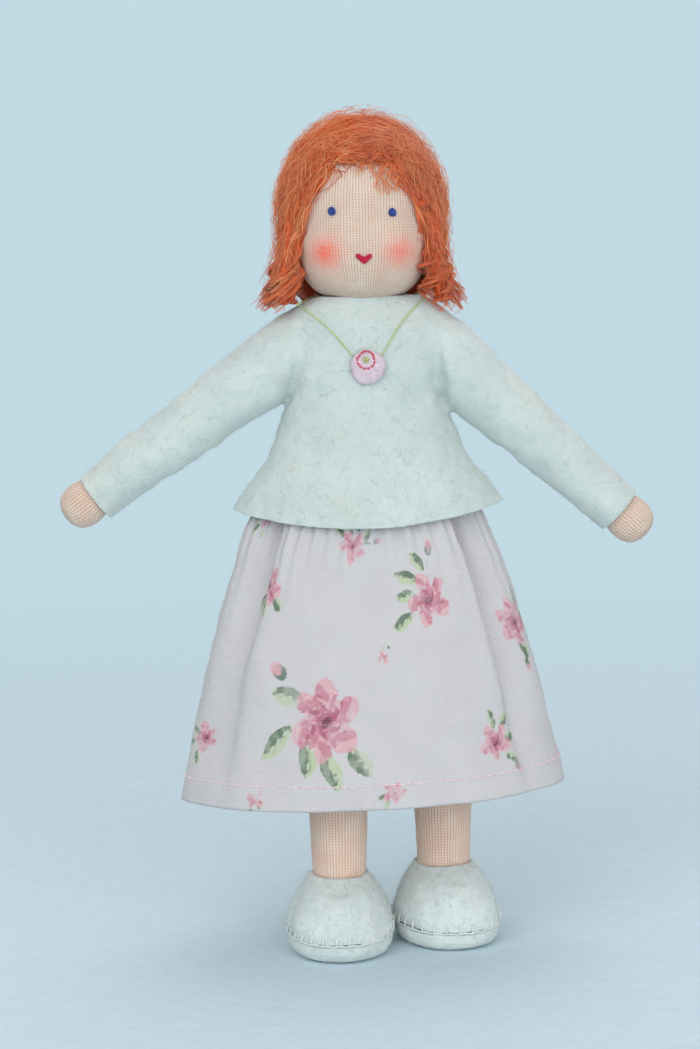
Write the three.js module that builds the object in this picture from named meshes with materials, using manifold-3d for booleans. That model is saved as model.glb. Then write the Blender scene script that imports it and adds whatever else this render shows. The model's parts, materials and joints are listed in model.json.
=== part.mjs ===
// A bendable dollhouse doll: knit over wool on a soft wire frame, in a felt top, cotton skirt and felt slippers.
// Millimetres, +Z up. It stands on z = 0 and faces -Y, so its own right hand is at -X.
import * as THREE from "three";
import { mergeVertices } from "three/addons/utils/BufferGeometryUtils.js";
import Module from "manifold-3d";

const wasm = await Module();
wasm.setup();
const rad = THREE.MathUtils.degToRad;
const { lerp } = THREE.MathUtils;

// Cloth, wire and the room left between pieces
const FELT = 1.2;
const KNIT = 0.6;
const COTTON = 0.6;
const WIRE_RADIUS = 0.5;
const THREAD_RADIUS = 0.3;
const SEAT_GAP = 0.3; // pieces that lie on each other
const TURN_GAP = 0.4; // pieces that turn on each other

// Legs: heights are added up from the floor
const ANKLE_HEIGHT = 12.5;
const ANKLE_RADIUS = 4.7;
const ANKLE_TIP = 20; // each way, in degrees
const SHIN_LENGTH = 25.5;
const CALF_RADIUS = 5.5;
const KNEE_RADIUS = 5.6;
const KNEE_BEND = 45;
const THIGH_RADIUS = 6.2;
const THIGH_DROP = 28;
const HIP_SPREAD = 7.5;
const HIPS_RADIUS = 8.5;
const HIPS_HALF_WIDTH = 12.5;
const STANCES = {
  right: { x: -6.1, y: -3, turn: 0 },
  left: { x: 13, y: 3.5, turn: 13 },
};

// Slippers, measured from the ankle
const SHOE_HALF_WIDTH = 9.2;
const SHOE_TOE = 13.4;
const SHOE_HEEL = 9.4;
const SOLE_THICK = 2.8;
const STITCH_RADIUS = 0.25;
const SEAM_GAP = 0.9; // groove between sole and upper that holds the stitching
const COLLAR_HEIGHT = 13.6;

// Body
const TORSO_HEIGHT = 39.4;
const TORSO_HALF_WIDTH = 12;
const TORSO_HALF_DEPTH = 7.9;
const SHOULDER_RISE = 42; // hip axis to shoulder pivots
const SHOULDER_SPREAD = 12.6;
const SHOULDER_PAD_RADIUS = 4.2;
const SHOULDER_PAD_START = 2.6;

// Arms, measured from the shoulder pivot; angles are below the horizontal
const ARM_ANGLES = { right: 35.2, left: 42.2 };
const ARM_LOWEST = 56;
const ARM_HIGHEST = -25;
const ELBOW_BEND = 70;
const ELBOW_REACH = 22;
const CUFF_REACH = 44;
const HAND_REACH = 50.6;
const SLEEVE_SHOULDER_RADIUS = 6.4;
const SLEEVE_CUFF_RADIUS = 4.35;
const HAND_HALF_WIDTH = 4.1;
const HAND_HALF_DEPTH = 3.7;

// Felt top
const TOP_LENGTH = 39.3;
const TOP_HEM_HALF_WIDTH = 23.5;
const TOP_HEM_HALF_DEPTH = 13.6;
const TOP_CHEST_HALF_WIDTH = 13.9;
const TOP_CHEST_HALF_DEPTH = 10.4;
const ARMPIT_DROP = 17.3; // neckline to armpit
const NECKLINE_RISE = 8.3; // shoulder pivots to neckline
const NECKLINE_RADIUS = 5.8;

// Skirt
const WAIST_RISE = 20; // hip axis to the gathered waist
const SKIRT_LENGTH = 56;
const SKIRT_HEM_HALF_WIDTH = 34.2;
const SKIRT_HEM_HALF_DEPTH = 20;
const SKIRT_HEM_TILT = 3.2; // the doll's left side hangs higher, in degrees
const SKIRT_SPREAD = 0.57; // how fast it widens below the waist: 1 is a straight cone, less is rounder
// Valleys between its folds: degrees from the front, depth, and reach in degrees to either side
const SKIRT_VALLEYS = [
  { at: -50, depth: 3, before: 15, after: 7 },
  { at: 50, depth: 4, before: 6, after: 16 },
  { at: -112, depth: 2, before: 9, after: 9 },
  { at: 112, depth: 1.8, before: 9, after: 9 },
  { at: -140, depth: 1.8, before: 9, after: 9 },
  { at: 140, depth: 2.1, before: 9, after: 9 },
  { at: -167, depth: 2, before: 8, after: 8 },
  { at: 167, depth: 2, before: 8, after: 8 },
];
const SKIRT_VALLEY_SWING = 6; // how far the two beside the front move outwards on their way down
const SKIRT_VALLEYS_START = 0.2; // share of the length where they are deepest
const SKIRT_VALLEY_AT_HEM = 0.12; // share of their depth that is left at the hem
const ELASTIC_THICK = 0.8;
const ELASTIC_HEIGHT = 3;

// Neck and head
const NECK_RADIUS = 4.4;
const NECK_LENGTH = 5.8;
const NOD_RISE = 10.5; // shoulder pivots to the nod axis
const HEAD_RISE = 13; // nod axis to the middle of the head
const HEAD_HALF_WIDTH = 13;
const HEAD_HALF_DEPTH = 12;
const HEAD_HALF_HEIGHT = 14.5;
const EYE_SPREAD = 5.5;
const EYE_RISE = 0.8;
const EYE_RADIUS = 0.8;
const MOUTH_DROP = 7.5;
const MOUTH_WIDTH = 2.7;

// Hair
const HAIR_THICK = 3;
const CROWN_THICK = 3.6;
const HAIR_SHIFT = 0.6; // the mass sits a little behind the middle of the head
const FACE_HALF_WIDTH = 10.6;
const HAIRLINE_RISE = 9.3; // middle of the head to the hairline
const LOCK_TOP_RISE = 1.5;
const LOCKS = { right: { x: -14.5, halfWidth: 4.2 }, left: { x: 14.6, halfWidth: 3.4 } };
const LOCK_HALF_DEPTH = 4.6;
const LOCK_FORWARD = 3.2;
const LOCK_TOP_HALF_WIDTH = 2.6;
const BACK_HAIR_TOP_DROP = 9.5;
const BACK_HAIR_START = 2; // behind the middle of the head, where the locks end
const NAPE_ROOM = 1.6;
const HAIR_LENGTH = 14.2; // middle of the head to the ends

// Necklace
const NECKLACE_SPREAD = 10.6;
const PENDANT_X = 1.4;
const PENDANT_DROP = 11.7; // neckline to the middle of the pendant
const PENDANT_RADIUS = 3;
const PENDANT_THICK = 1.2;
const RING_RADIUS = 1.7;
const RING_RISE = 1; // the ring sits above the middle of the pendant
const RING_THREAD_RADIUS = 0.22;
const KNOT_RADIUS = 0.7;
const KNOT_THICK = 0.4;

// Facets
const LIMB_SIDES = 14;
const BODY_SIDES = 22;
const THREAD_SIDES = 6;
const ROOM_SIDES = 16; // cutters for turning room
const SKIRT_SIDES = 72;
const SKIRT_ROWS = 6;
const SLIPPER_SIDES = 20;
const HEAD_SIDES = 26;
const HEAD_ROWS = 12;
const INNER_HEAD_SIDES = 16;
const INNER_HEAD_ROWS = 8;

// Heights that follow from the sizes above
const KNEE_Z = ANKLE_HEIGHT + SHIN_LENGTH;
const HIP_Z = KNEE_Z + THIGH_DROP;
const TORSO_BOTTOM = HIP_Z + HIPS_RADIUS + TURN_GAP;
const TORSO_TOP = TORSO_BOTTOM + TORSO_HEIGHT;
const WAIST_Z = HIP_Z + WAIST_RISE;
const SHOULDER_Z = HIP_Z + SHOULDER_RISE;
const NECKLINE_Z = SHOULDER_Z + NECKLINE_RISE;
const ARMPIT_Z = NECKLINE_Z - ARMPIT_DROP;
const TOP_HEM_Z = NECKLINE_Z - TOP_LENGTH;
const NOD_Z = SHOULDER_Z + NOD_RISE;
const HEAD_Z = NOD_Z + HEAD_RISE;

const SIDES_OF_DOLL = { right: -1, left: 1 };

const colours = {
  skin: "#e6c3ab",
  wool: "#efe6d8",
  felt: "#dfe8e4",
  cotton: "#ead9dc",
  hair: "#c4572b",
  wire: "#b9bcc0",
  thread: "#b9cf6a",
  whiteThread: "#f2f2ee",
  eye: "#2f4fa8",
  mouth: "#b81f3c",
  pendant: "#e3b3c2",
  pendantThread: "#c9414f",
  pendantKnot: "#a9b357",
};

function finish(name) {
  const metal = name === "wire";
  return new THREE.MeshStandardMaterial({
    color: colours[name],
    roughness: metal ? 0.4 : 0.95,
    metalness: metal ? 1 : 0,
  });
}

// Solids: three.js makes the shapes, and manifold-3d joins and cuts them

function solid(geometry) {
  const bare = new THREE.BufferGeometry();
  bare.setAttribute("position", geometry.getAttribute("position"));
  if (geometry.index) bare.setIndex(geometry.index);
  const merged = mergeVertices(bare, 1e-4);
  const mesh = (corners) =>
    new wasm.Manifold(
      new wasm.Mesh({
        numProp: 3,
        vertProperties: merged.getAttribute("position").array,
        triVerts: Uint32Array.from(corners),
      }),
    );
  const made = mesh(merged.index.array);
  return made.volume() < 0 ? mesh(Array.from(merged.index.array).reverse()) : made;
}

const cut = (body, ...tools) => tools.reduce((rest, tool) => rest.subtract(tool), body);
const join = (...bodies) => bodies.reduce((sum, body) => sum.add(body));

function piece(parent, name, made, colour) {
  const { vertProperties, triVerts } = made.getMesh();
  const geometry = new THREE.BufferGeometry();
  geometry.setAttribute("position", new THREE.BufferAttribute(vertProperties, 3));
  geometry.setIndex(new THREE.BufferAttribute(triVerts, 1));
  geometry.computeVertexNormals();
  const mesh = new THREE.Mesh(geometry, finish(colour));
  mesh.name = name;
  parent.add(mesh);
}

// A turned shape about +Z; each profile point is [radius, z].
function turned(profile, sides = LIMB_SIDES) {
  const points = profile.map(([radius, z]) => new THREE.Vector2(Math.max(radius, 0), z));
  return new THREE.LatheGeometry(points, sides).rotateX(Math.PI / 2);
}

// Profile points of a round end, from its pole on the axis to its equator at z = 0.
function roundEnd(radius, steps = 5) {
  return Array.from({ length: steps + 1 }, (_, i) => {
    const angle = (i / steps) * (Math.PI / 2);
    return [radius * Math.sin(angle), -radius * Math.cos(angle)];
  });
}

function ball(radius, centre = [0, 0, 0], sides = LIMB_SIDES) {
  return new THREE.SphereGeometry(radius, sides, Math.round(sides / 2))
    .rotateX(Math.PI / 2)
    .translate(...centre);
}

function rod(radius, low, high, sides = 8) {
  return new THREE.CylinderGeometry(radius, radius, high - low, sides)
    .rotateX(Math.PI / 2)
    .translate(0, 0, (low + high) / 2);
}

function box(low, high) {
  const size = high.map((value, i) => value - low[i]);
  return new THREE.BoxGeometry(...size).translate(
    ...low.map((value, i) => value + size[i] / 2),
  );
}

// One ring of points: an oval whose corners fill out as power rises past 2.
function oval({ z, halfWidth, halfDepth, power = 2, x = 0, y = 0 }, sides = BODY_SIDES) {
  const bend = (value) => Math.sign(value) * Math.abs(value) ** (2 / power);
  return Array.from({ length: sides }, (_, i) => {
    const angle = (i / sides) * 2 * Math.PI;
    return new THREE.Vector3(
      x + halfWidth * bend(Math.cos(angle)),
      y + halfDepth * bend(Math.sin(angle)),
      z,
    );
  });
}

// Walls between neighbouring rings of points, and either a fan over each end or a wall back to the first ring.
function skinned(rings, endless = false) {
  const sides = rings[0].length;
  const points = rings.flat();
  const faces = [];
  const walls = endless ? rings.length : rings.length - 1;
  for (let ring = 0; ring < walls; ring += 1) {
    for (let i = 0; i < sides; i += 1) {
      const next = (i + 1) % sides;
      const low = ring * sides;
      const high = ((ring + 1) % rings.length) * sides;
      faces.push(low + i, low + next, high + next, low + i, high + next, high + i);
    }
  }
  if (!endless) {
    const middle = (ring) =>
      ring.reduce((sum, point) => sum.add(point), new THREE.Vector3()).divideScalar(sides);
    const last = (rings.length - 1) * sides;
    points.push(middle(rings[0]), middle(rings[rings.length - 1]));
    for (let i = 0; i < sides; i += 1) {
      const next = (i + 1) % sides;
      faces.push(points.length - 2, next, i, points.length - 1, last + i, last + next);
    }
  }
  const geometry = new THREE.BufferGeometry().setFromPoints(points);
  geometry.setIndex(faces);
  return geometry;
}

const loft = (sections, sides) => skinned(sections.map((section) => oval(section, sides)));

const shrunk = (sections, wall) =>
  sections.map((section) => ({
    ...section,
    halfWidth: section.halfWidth - wall,
    halfDepth: section.halfDepth - wall,
  }));

function thread(points, radius, steps) {
  const section = new THREE.Shape(
    Array.from({ length: THREAD_SIDES }, (_, i) => {
      const angle = (i / THREAD_SIDES) * 2 * Math.PI;
      return new THREE.Vector2(radius * Math.cos(angle), radius * Math.sin(angle));
    }),
  );
  const route = new THREE.CatmullRomCurve3(points);
  return new THREE.ExtrudeGeometry(section, { extrudePath: route, steps });
}

// Room that a jointed limb needs in the piece above it: a ball at the joint and the limb at each bend.
function bendRoom(radius, reach, bends) {
  const arms = bends.map((bend) => solid(rod(radius, 0, reach, LIMB_SIDES).rotateX(rad(bend))));
  return join(solid(ball(radius)), ...arms);
}

const moved = (geometry, x, y, z) => geometry.translate(x, y, z);

// Everything is hung on one group
const doll = new THREE.Group();

// Torso and the felt top over it

// Torso widths at shares of its height, from the hips up to the neck
const torsoShape = [
  [0, 0.92, 0.92],
  [0.12, 0.98, 1],
  [0.35, 0.95, 0.96],
  [0.7, 1, 0.98],
  [0.9, 0.86, 0.84],
  [1, 0.55, 0.6],
];
const torsoSections = torsoShape.map(([rise, width, depth]) => ({
  z: TORSO_BOTTOM + rise * TORSO_HEIGHT,
  halfWidth: TORSO_HALF_WIDTH * width,
  halfDepth: TORSO_HALF_DEPTH * depth,
  power: 2.3,
}));

// Felt top: a flare from the hem to the armpit, then in to the neckline
const topFlare = [0, 0.35, 0.7, 1].map((rise) => ({
  z: lerp(TOP_HEM_Z, ARMPIT_Z, rise),
  halfWidth: lerp(TOP_HEM_HALF_WIDTH, TOP_CHEST_HALF_WIDTH, rise ** 0.85),
  halfDepth: lerp(TOP_HEM_HALF_DEPTH, TOP_CHEST_HALF_DEPTH, rise ** 0.85),
  power: lerp(1.75, 2.1, rise),
}));
const topYoke = [
  [0.4, 0.97, 0.97],
  [0.7, 0.92, 0.88],
  [0.87, 0.82, 0.74],
  [1, 0.64, 0.62],
].map(([rise, width, depth]) => ({
  z: lerp(ARMPIT_Z, NECKLINE_Z, rise),
  halfWidth: TOP_CHEST_HALF_WIDTH * width,
  halfDepth: TOP_CHEST_HALF_DEPTH * depth,
  power: 2.3,
}));
const topSections = [...topFlare, ...topYoke];

// The felt's outer surface in front of a point: y at a place x, z.
function chestY(x, z) {
  const above = topSections.findIndex((section) => section.z >= z);
  const high = topSections[above < 0 ? topSections.length - 1 : Math.max(above, 1)];
  const low = topSections[(above < 0 ? topSections.length - 1 : Math.max(above, 1)) - 1];
  const rise = (Math.min(z, high.z) - low.z) / (high.z - low.z);
  const halfWidth = lerp(low.halfWidth, high.halfWidth, rise);
  const halfDepth = lerp(low.halfDepth, high.halfDepth, rise);
  const power = lerp(low.power, high.power, rise);
  const side = Math.min(Math.abs(x) / halfWidth, 1);
  return -halfDepth * (1 - side ** power) ** (1 / power);
}

// Room for one arm at the shoulder: a turned shape about X, wider below for the lowered arm than above.
function armRoom(side) {
  const radius = SLEEVE_SHOULDER_RADIUS + TURN_GAP;
  const reach = 3 * SHOULDER_SPREAD;
  const profile = (angle) => {
    const steps = 6;
    const inner = Array.from({ length: steps + 1 }, (_, i) => {
      const turn = (i / steps) * (Math.PI / 2 - rad(angle));
      return [radius * Math.sin(turn), -radius * Math.cos(turn)];
    });
    const [edge, start] = inner[steps];
    const end = [edge + reach * Math.sin(rad(angle)), start + reach * Math.cos(rad(angle))];
    return [...inner, end, [0, end[1]]];
  };
  const half = (angle, low, high) =>
    solid(turned(profile(angle), ROOM_SIDES + 4).rotateY(Math.PI / 2)).intersect(
      solid(box([-reach, -4 * reach, low], [4 * reach, 4 * reach, high])),
    );
  const room = join(
    half(ARM_LOWEST, -4 * reach, 0),
    half(-ARM_HIGHEST, -SEAT_GAP, 4 * reach),
  );
  const matrix = new THREE.Matrix4().makeTranslation(side * SHOULDER_SPREAD, 0, SHOULDER_Z);
  if (side < 0) matrix.multiply(new THREE.Matrix4().makeRotationZ(Math.PI));
  return room.transform(matrix.toArray());
}

const armRooms = Object.values(SIDES_OF_DOLL).map(armRoom);
const neckRoom = solid(rod(NECK_RADIUS + TURN_GAP, NOD_Z - NECK_LENGTH - SEAT_GAP, NOD_Z, LIMB_SIDES));
const wireRoom = WIRE_RADIUS + SEAT_GAP;
const torsoWireTop = NOD_Z - NECK_LENGTH - TURN_GAP;

function makeTorso() {
  const skin = solid(loft(torsoSections));
  const inside = shrunk(torsoSections, KNIT);
  inside[0] = { ...inside[0], z: TORSO_BOTTOM - KNIT };
  inside[inside.length - 1] = { ...inside[inside.length - 1], z: TORSO_TOP - KNIT };
  piece(doll, "torso_skin", cut(skin, solid(loft(inside)), neckRoom, ...armRooms), "skin");

  const filling = shrunk(torsoSections, KNIT + SEAT_GAP);
  filling[filling.length - 1].z -= KNIT + SEAT_GAP;
  const padRoom = solid(
    rod(SHOULDER_PAD_RADIUS + TURN_GAP, -SHOULDER_SPREAD, SHOULDER_SPREAD, LIMB_SIDES)
      .rotateY(Math.PI / 2)
      .translate(0, 0, SHOULDER_Z),
  );
  const spine = solid(
    box(
      [-SHOULDER_PAD_START + TURN_GAP, -TORSO_HALF_DEPTH, TORSO_BOTTOM],
      [SHOULDER_PAD_START - TURN_GAP, TORSO_HALF_DEPTH, TORSO_TOP],
    ),
  );
  const spineRoom = solid(rod(wireRoom, TORSO_BOTTOM - 1, torsoWireTop + SEAT_GAP));
  const body = cut(solid(loft(filling)), neckRoom, cut(padRoom, spine), ...armRooms, spineRoom);
  piece(doll, "torso_filling", body, "wool");
  piece(
    doll,
    "torso_wire",
    solid(rod(WIRE_RADIUS, TORSO_BOTTOM + SEAT_GAP, torsoWireTop)),
    "wire",
  );
}

function makeTop() {
  const inside = shrunk(topSections, FELT);
  inside[0] = { ...inside[0], z: TOP_HEM_Z - FELT };
  inside[inside.length - 1] = { ...inside[inside.length - 1], z: NECKLINE_Z - FELT };
  const neckHole = solid(
    rod(NECKLINE_RADIUS, NECKLINE_Z - 2 * FELT, NECKLINE_Z + FELT, LIMB_SIDES),
  );
  const shell = cut(solid(loft(topSections)), solid(loft(inside)), neckHole, ...armRooms);
  const far = 2 * TOP_HEM_HALF_WIDTH;
  const halves = { top_front: -1, top_back: 1 };
  for (const [name, way] of Object.entries(halves)) {
    const reach = [(SEAT_GAP / 2) * way, far * way].sort((a, b) => a - b);
    const half = solid(box([-far, reach[0], 0], [far, reach[1], 2 * NECKLINE_Z]));
    piece(doll, name, shell.intersect(half), "felt");
  }
}

// Skirt and its elastic

function makeSkirt() {
  const bodyWidth = TORSO_HALF_WIDTH + SEAT_GAP;
  const bodyDepth = TORSO_HALF_DEPTH + SEAT_GAP;
  const ringAt = (z, wall) => ({ z, halfWidth: bodyWidth + wall, halfDepth: bodyDepth + wall, power: 2.3 });
  const elasticTop = WAIST_Z - COTTON;
  const elastic = cut(
    solid(loft([ringAt(elasticTop - ELASTIC_HEIGHT, ELASTIC_THICK), ringAt(elasticTop, ELASTIC_THICK)])),
    solid(loft([ringAt(elasticTop - 2 * ELASTIC_HEIGHT, 0), ringAt(elasticTop + ELASTIC_HEIGHT, 0)])),
  );
  piece(doll, "waist_elastic", elastic, "whiteThread");

  const waistWidth = bodyWidth + ELASTIC_THICK + SEAT_GAP;
  const waistDepth = bodyDepth + ELASTIC_THICK + SEAT_GAP;
  const tilt = Math.tan(rad(SKIRT_HEM_TILT));
  // The valleys are deepest a little below the waist and fade towards the hem.
  const foldAt = (turn, drop) => {
    const risen = Math.min(1, drop / SKIRT_VALLEYS_START);
    const fallen = Math.max(0, drop - SKIRT_VALLEYS_START) / (1 - SKIRT_VALLEYS_START);
    const share = risen * lerp(1, SKIRT_VALLEY_AT_HEM, fallen);
    return SKIRT_VALLEYS.reduce((fold, { at, depth, before, after }) => {
      const swing = Math.abs(at) < 90 ? Math.sign(at) * SKIRT_VALLEY_SWING * drop : 0;
      const off = ((turn - at - swing + 540) % 360) - 180;
      return fold - depth * share * Math.exp(-((off / (off < 0 ? before : after)) ** 2));
    }, 0);
  };
  const ring = (row, wall) => {
    const drop = row / SKIRT_ROWS;
    const halfWidth = lerp(waistWidth, SKIRT_HEM_HALF_WIDTH - COTTON, drop ** SKIRT_SPREAD);
    const halfDepth = lerp(waistDepth, SKIRT_HEM_HALF_DEPTH - COTTON, drop);
    return Array.from({ length: SKIRT_SIDES }, (_, i) => {
      const turn = (i / SKIRT_SIDES) * 360;
      const fold = wall + foldAt(turn, drop);
      const x = (halfWidth + fold) * Math.sin(rad(turn));
      const y = -(halfDepth + fold) * Math.cos(rad(turn));
      return new THREE.Vector3(x, y, WAIST_Z - drop * (SKIRT_LENGTH - x * tilt));
    });
  };
  const wall = (thick) => Array.from({ length: SKIRT_ROWS + 1 }, (_, row) => ring(row, thick));
  piece(doll, "skirt", solid(skinned([...wall(COTTON), ...wall(0).reverse()], true)), "cotton");
}

// Arms: each runs along its group's +Z, and its elbow turns about the group's +X

function sleeve(startRadius, endRadius, reach) {
  return solid(
    turned([
      ...roundEnd(startRadius),
      [endRadius, reach],
      [endRadius - FELT, reach],
      ...roundEnd(startRadius - FELT).reverse(),
    ]),
  );
}

// A wool limb with a round end at its joint and a bore for its wire, open at the far end.
function limb(startRadius, endRadius, reach) {
  return solid(
    turned([
      ...roundEnd(startRadius),
      [endRadius, reach],
      [wireRoom, reach],
      [wireRoom, 0],
      [0, 0],
    ]),
  );
}

function makeArm(name, side) {
  const shoulder = new THREE.Group();
  shoulder.position.set(side * SHOULDER_SPREAD, 0, SHOULDER_Z);
  doll.add(shoulder);

  const padReach = SHOULDER_SPREAD - SHOULDER_PAD_START;
  const pad = cut(
    solid(rod(SHOULDER_PAD_RADIUS, 0, padReach, LIMB_SIDES).rotateY((-side * Math.PI) / 2)),
    solid(ball(SLEEVE_SHOULDER_RADIUS + TURN_GAP, [0, 0, 0], ROOM_SIDES)),
  );
  piece(shoulder, name + "_shoulder_pad", pad, "wool");

  const arm = new THREE.Group();
  arm.rotation.y = side * rad(90 + ARM_ANGLES[name]);
  shoulder.add(arm);
  const elbowRadius = lerp(SLEEVE_SHOULDER_RADIUS, SLEEVE_CUFF_RADIUS, ELBOW_REACH / CUFF_REACH);
  const elbowRoom = bendRoom(elbowRadius + TURN_GAP, ELBOW_REACH, [0, 0.35, 0.7, 1].map((b) => b * ELBOW_BEND))
    .translate([0, 0, ELBOW_REACH]);
  piece(
    arm,
    name + "_upper_sleeve",
    cut(sleeve(SLEEVE_SHOULDER_RADIUS, elbowRadius, ELBOW_REACH), elbowRoom),
    "felt",
  );
  const woolGap = FELT + SEAT_GAP;
  piece(
    arm,
    name + "_upper_arm",
    cut(limb(SLEEVE_SHOULDER_RADIUS - woolGap, elbowRadius - woolGap, ELBOW_REACH), elbowRoom),
    "wool",
  );
  piece(
    arm,
    name + "_upper_arm_wire",
    solid(rod(WIRE_RADIUS, SEAT_GAP, ELBOW_REACH - elbowRadius - 2 * TURN_GAP)),
    "wire",
  );

  const forearm = new THREE.Group();
  forearm.position.z = ELBOW_REACH;
  arm.add(forearm);
  const cuff = CUFF_REACH - ELBOW_REACH;
  const wrist = cuff - FELT;
  const wristRadius = SLEEVE_CUFF_RADIUS - woolGap;
  piece(forearm, name + "_lower_sleeve", sleeve(elbowRadius, SLEEVE_CUFF_RADIUS, cuff), "felt");
  piece(forearm, name + "_forearm", limb(elbowRadius - woolGap, wristRadius, wrist), "skin");
  piece(forearm, name + "_forearm_wire", solid(rod(WIRE_RADIUS, SEAT_GAP, wrist)), "wire");

  // Hand: a knit-covered swell past the cuff, given as shares of its length and half width
  const handStart = wrist + SEAT_GAP;
  const handLength = HAND_REACH - ELBOW_REACH - handStart;
  const handShape = [
    [0, wristRadius / HAND_HALF_WIDTH],
    [0.2, wristRadius / HAND_HALF_WIDTH],
    [0.36, 0.9],
    [0.56, 1],
    [0.78, 0.86],
    [0.94, 0.5],
    [1, 0.15],
  ];
  const handSections = handShape.map(([rise, width]) => ({
    z: handStart + rise * handLength,
    halfWidth: width * HAND_HALF_WIDTH,
    halfDepth: rise < 0.3 ? wristRadius : width * HAND_HALF_DEPTH,
  }));
  piece(forearm, name + "_hand", solid(loft(handSections, LIMB_SIDES)), "skin");
}

// Hips and legs

function makeHips() {
  const straight = HIPS_HALF_WIDTH - HIPS_RADIUS;
  const profile = [
    ...roundEnd(HIPS_RADIUS, 4).map(([radius, z]) => [radius, z - straight]),
    ...roundEnd(HIPS_RADIUS, 4).map(([radius, z]) => [radius, straight - z]).reverse(),
  ];
  const along = (geometry) => moved(geometry.rotateY(Math.PI / 2), 0, 0, HIP_Z);
  const bore = solid(along(rod(wireRoom, -HIPS_HALF_WIDTH - 1, HIPS_HALF_WIDTH + 1)));
  piece(doll, "hips", cut(solid(along(turned(profile, ROOM_SIDES))), bore), "wool");
  const wireEnd = HIPS_HALF_WIDTH - SEAT_GAP;
  piece(doll, "hips_wire", solid(along(rod(WIRE_RADIUS, -wireEnd, wireEnd))), "wire");
}

// Slipper outline at one height: an egg, longer towards the toe.
function slipperRing({ z, halfWidth, toe, heel }, sides) {
  const power = 2.25;
  const bend = (value) => Math.sign(value) * Math.abs(value) ** (2 / power);
  return Array.from({ length: sides }, (_, i) => {
    const angle = (i / sides) * 2 * Math.PI;
    const along = bend(Math.sin(angle));
    return new THREE.Vector3(halfWidth * bend(Math.cos(angle)), along * (along < 0 ? toe : heel), z);
  });
}

// Slipper heights and widths as shares of its collar height, half width, toe and heel
const slipperShape = [
  [0, 0.9, 0.9, 0.86],
  [0.1, 0.97, 0.97, 0.95],
  [0.3, 1, 1, 1],
  [0.5, 0.97, 0.97, 0.99],
  [0.66, 0.88, 0.88, 0.92],
  [0.82, 0.75, 0.73, 0.79],
  [1, 0.7, 0.55, 0.71],
];
function slipperSection(height, wall) {
  const share = THREE.MathUtils.clamp(height / COLLAR_HEIGHT, 0, 1);
  const above = Math.max(1, slipperShape.findIndex(([rise]) => rise >= share));
  const [low, high] = [slipperShape[above - 1], slipperShape[above]];
  const mix = (i) => lerp(low[i], high[i], (share - low[0]) / (high[0] - low[0]));
  return {
    z: height,
    halfWidth: mix(1) * SHOE_HALF_WIDTH - wall,
    toe: mix(2) * SHOE_TOE - wall,
    heel: mix(3) * SHOE_HEEL - wall,
  };
}

function slipperLoft(heights, wall) {
  return skinned(heights.map((height) => slipperRing(slipperSection(height, wall), SLIPPER_SIDES)));
}

function makeSlipper(name, foot, turn) {
  const seam = SOLE_THICK + SEAM_GAP;
  const between = (low, high) => [low, ...slipperShape.map(([rise]) => rise * COLLAR_HEIGHT)
    .filter((z) => z > low + 0.5 && z < high - 0.5), high];
  const tips = [-1, -0.5, 0, 0.5, 1].map((share) => share * ANKLE_TIP);
  const legRoom = bendRoom(ANKLE_RADIUS + TURN_GAP, 2 * ANKLE_RADIUS, tips)
    .rotate([0, 0, -turn])
    .translate([0, 0, ANKLE_HEIGHT]);
  piece(foot, name + "_shoe_sole", solid(slipperLoft(between(0, SOLE_THICK), 0)), "felt");

  const outer = solid(slipperLoft(between(seam, COLLAR_HEIGHT), 0));
  const insideTop = COLLAR_HEIGHT - FELT;
  const inner = solid(slipperLoft([seam - 1, ...between(seam, insideTop)], FELT));
  piece(foot, name + "_shoe_upper", cut(outer, inner, legRoom), "felt");

  const fillingTop = insideTop - SEAT_GAP;
  const filling = solid(slipperLoft(between(seam, fillingTop), FELT + SEAT_GAP));
  piece(foot, name + "_foot", cut(filling, legRoom), "wool");

  // Stitching: one thread round the seam groove
  const rings = Array.from({ length: 4 }, (_, i) => {
    const angle = (i / 4) * 2 * Math.PI;
    const section = slipperSection(seam, -STITCH_RADIUS * Math.cos(angle));
    section.z = SOLE_THICK + SEAM_GAP / 2 + STITCH_RADIUS * Math.sin(angle);
    return slipperRing(section, SLIPPER_SIDES);
  });
  piece(foot, name + "_shoe_stitching", solid(skinned(rings, true)), "whiteThread");
}

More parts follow.
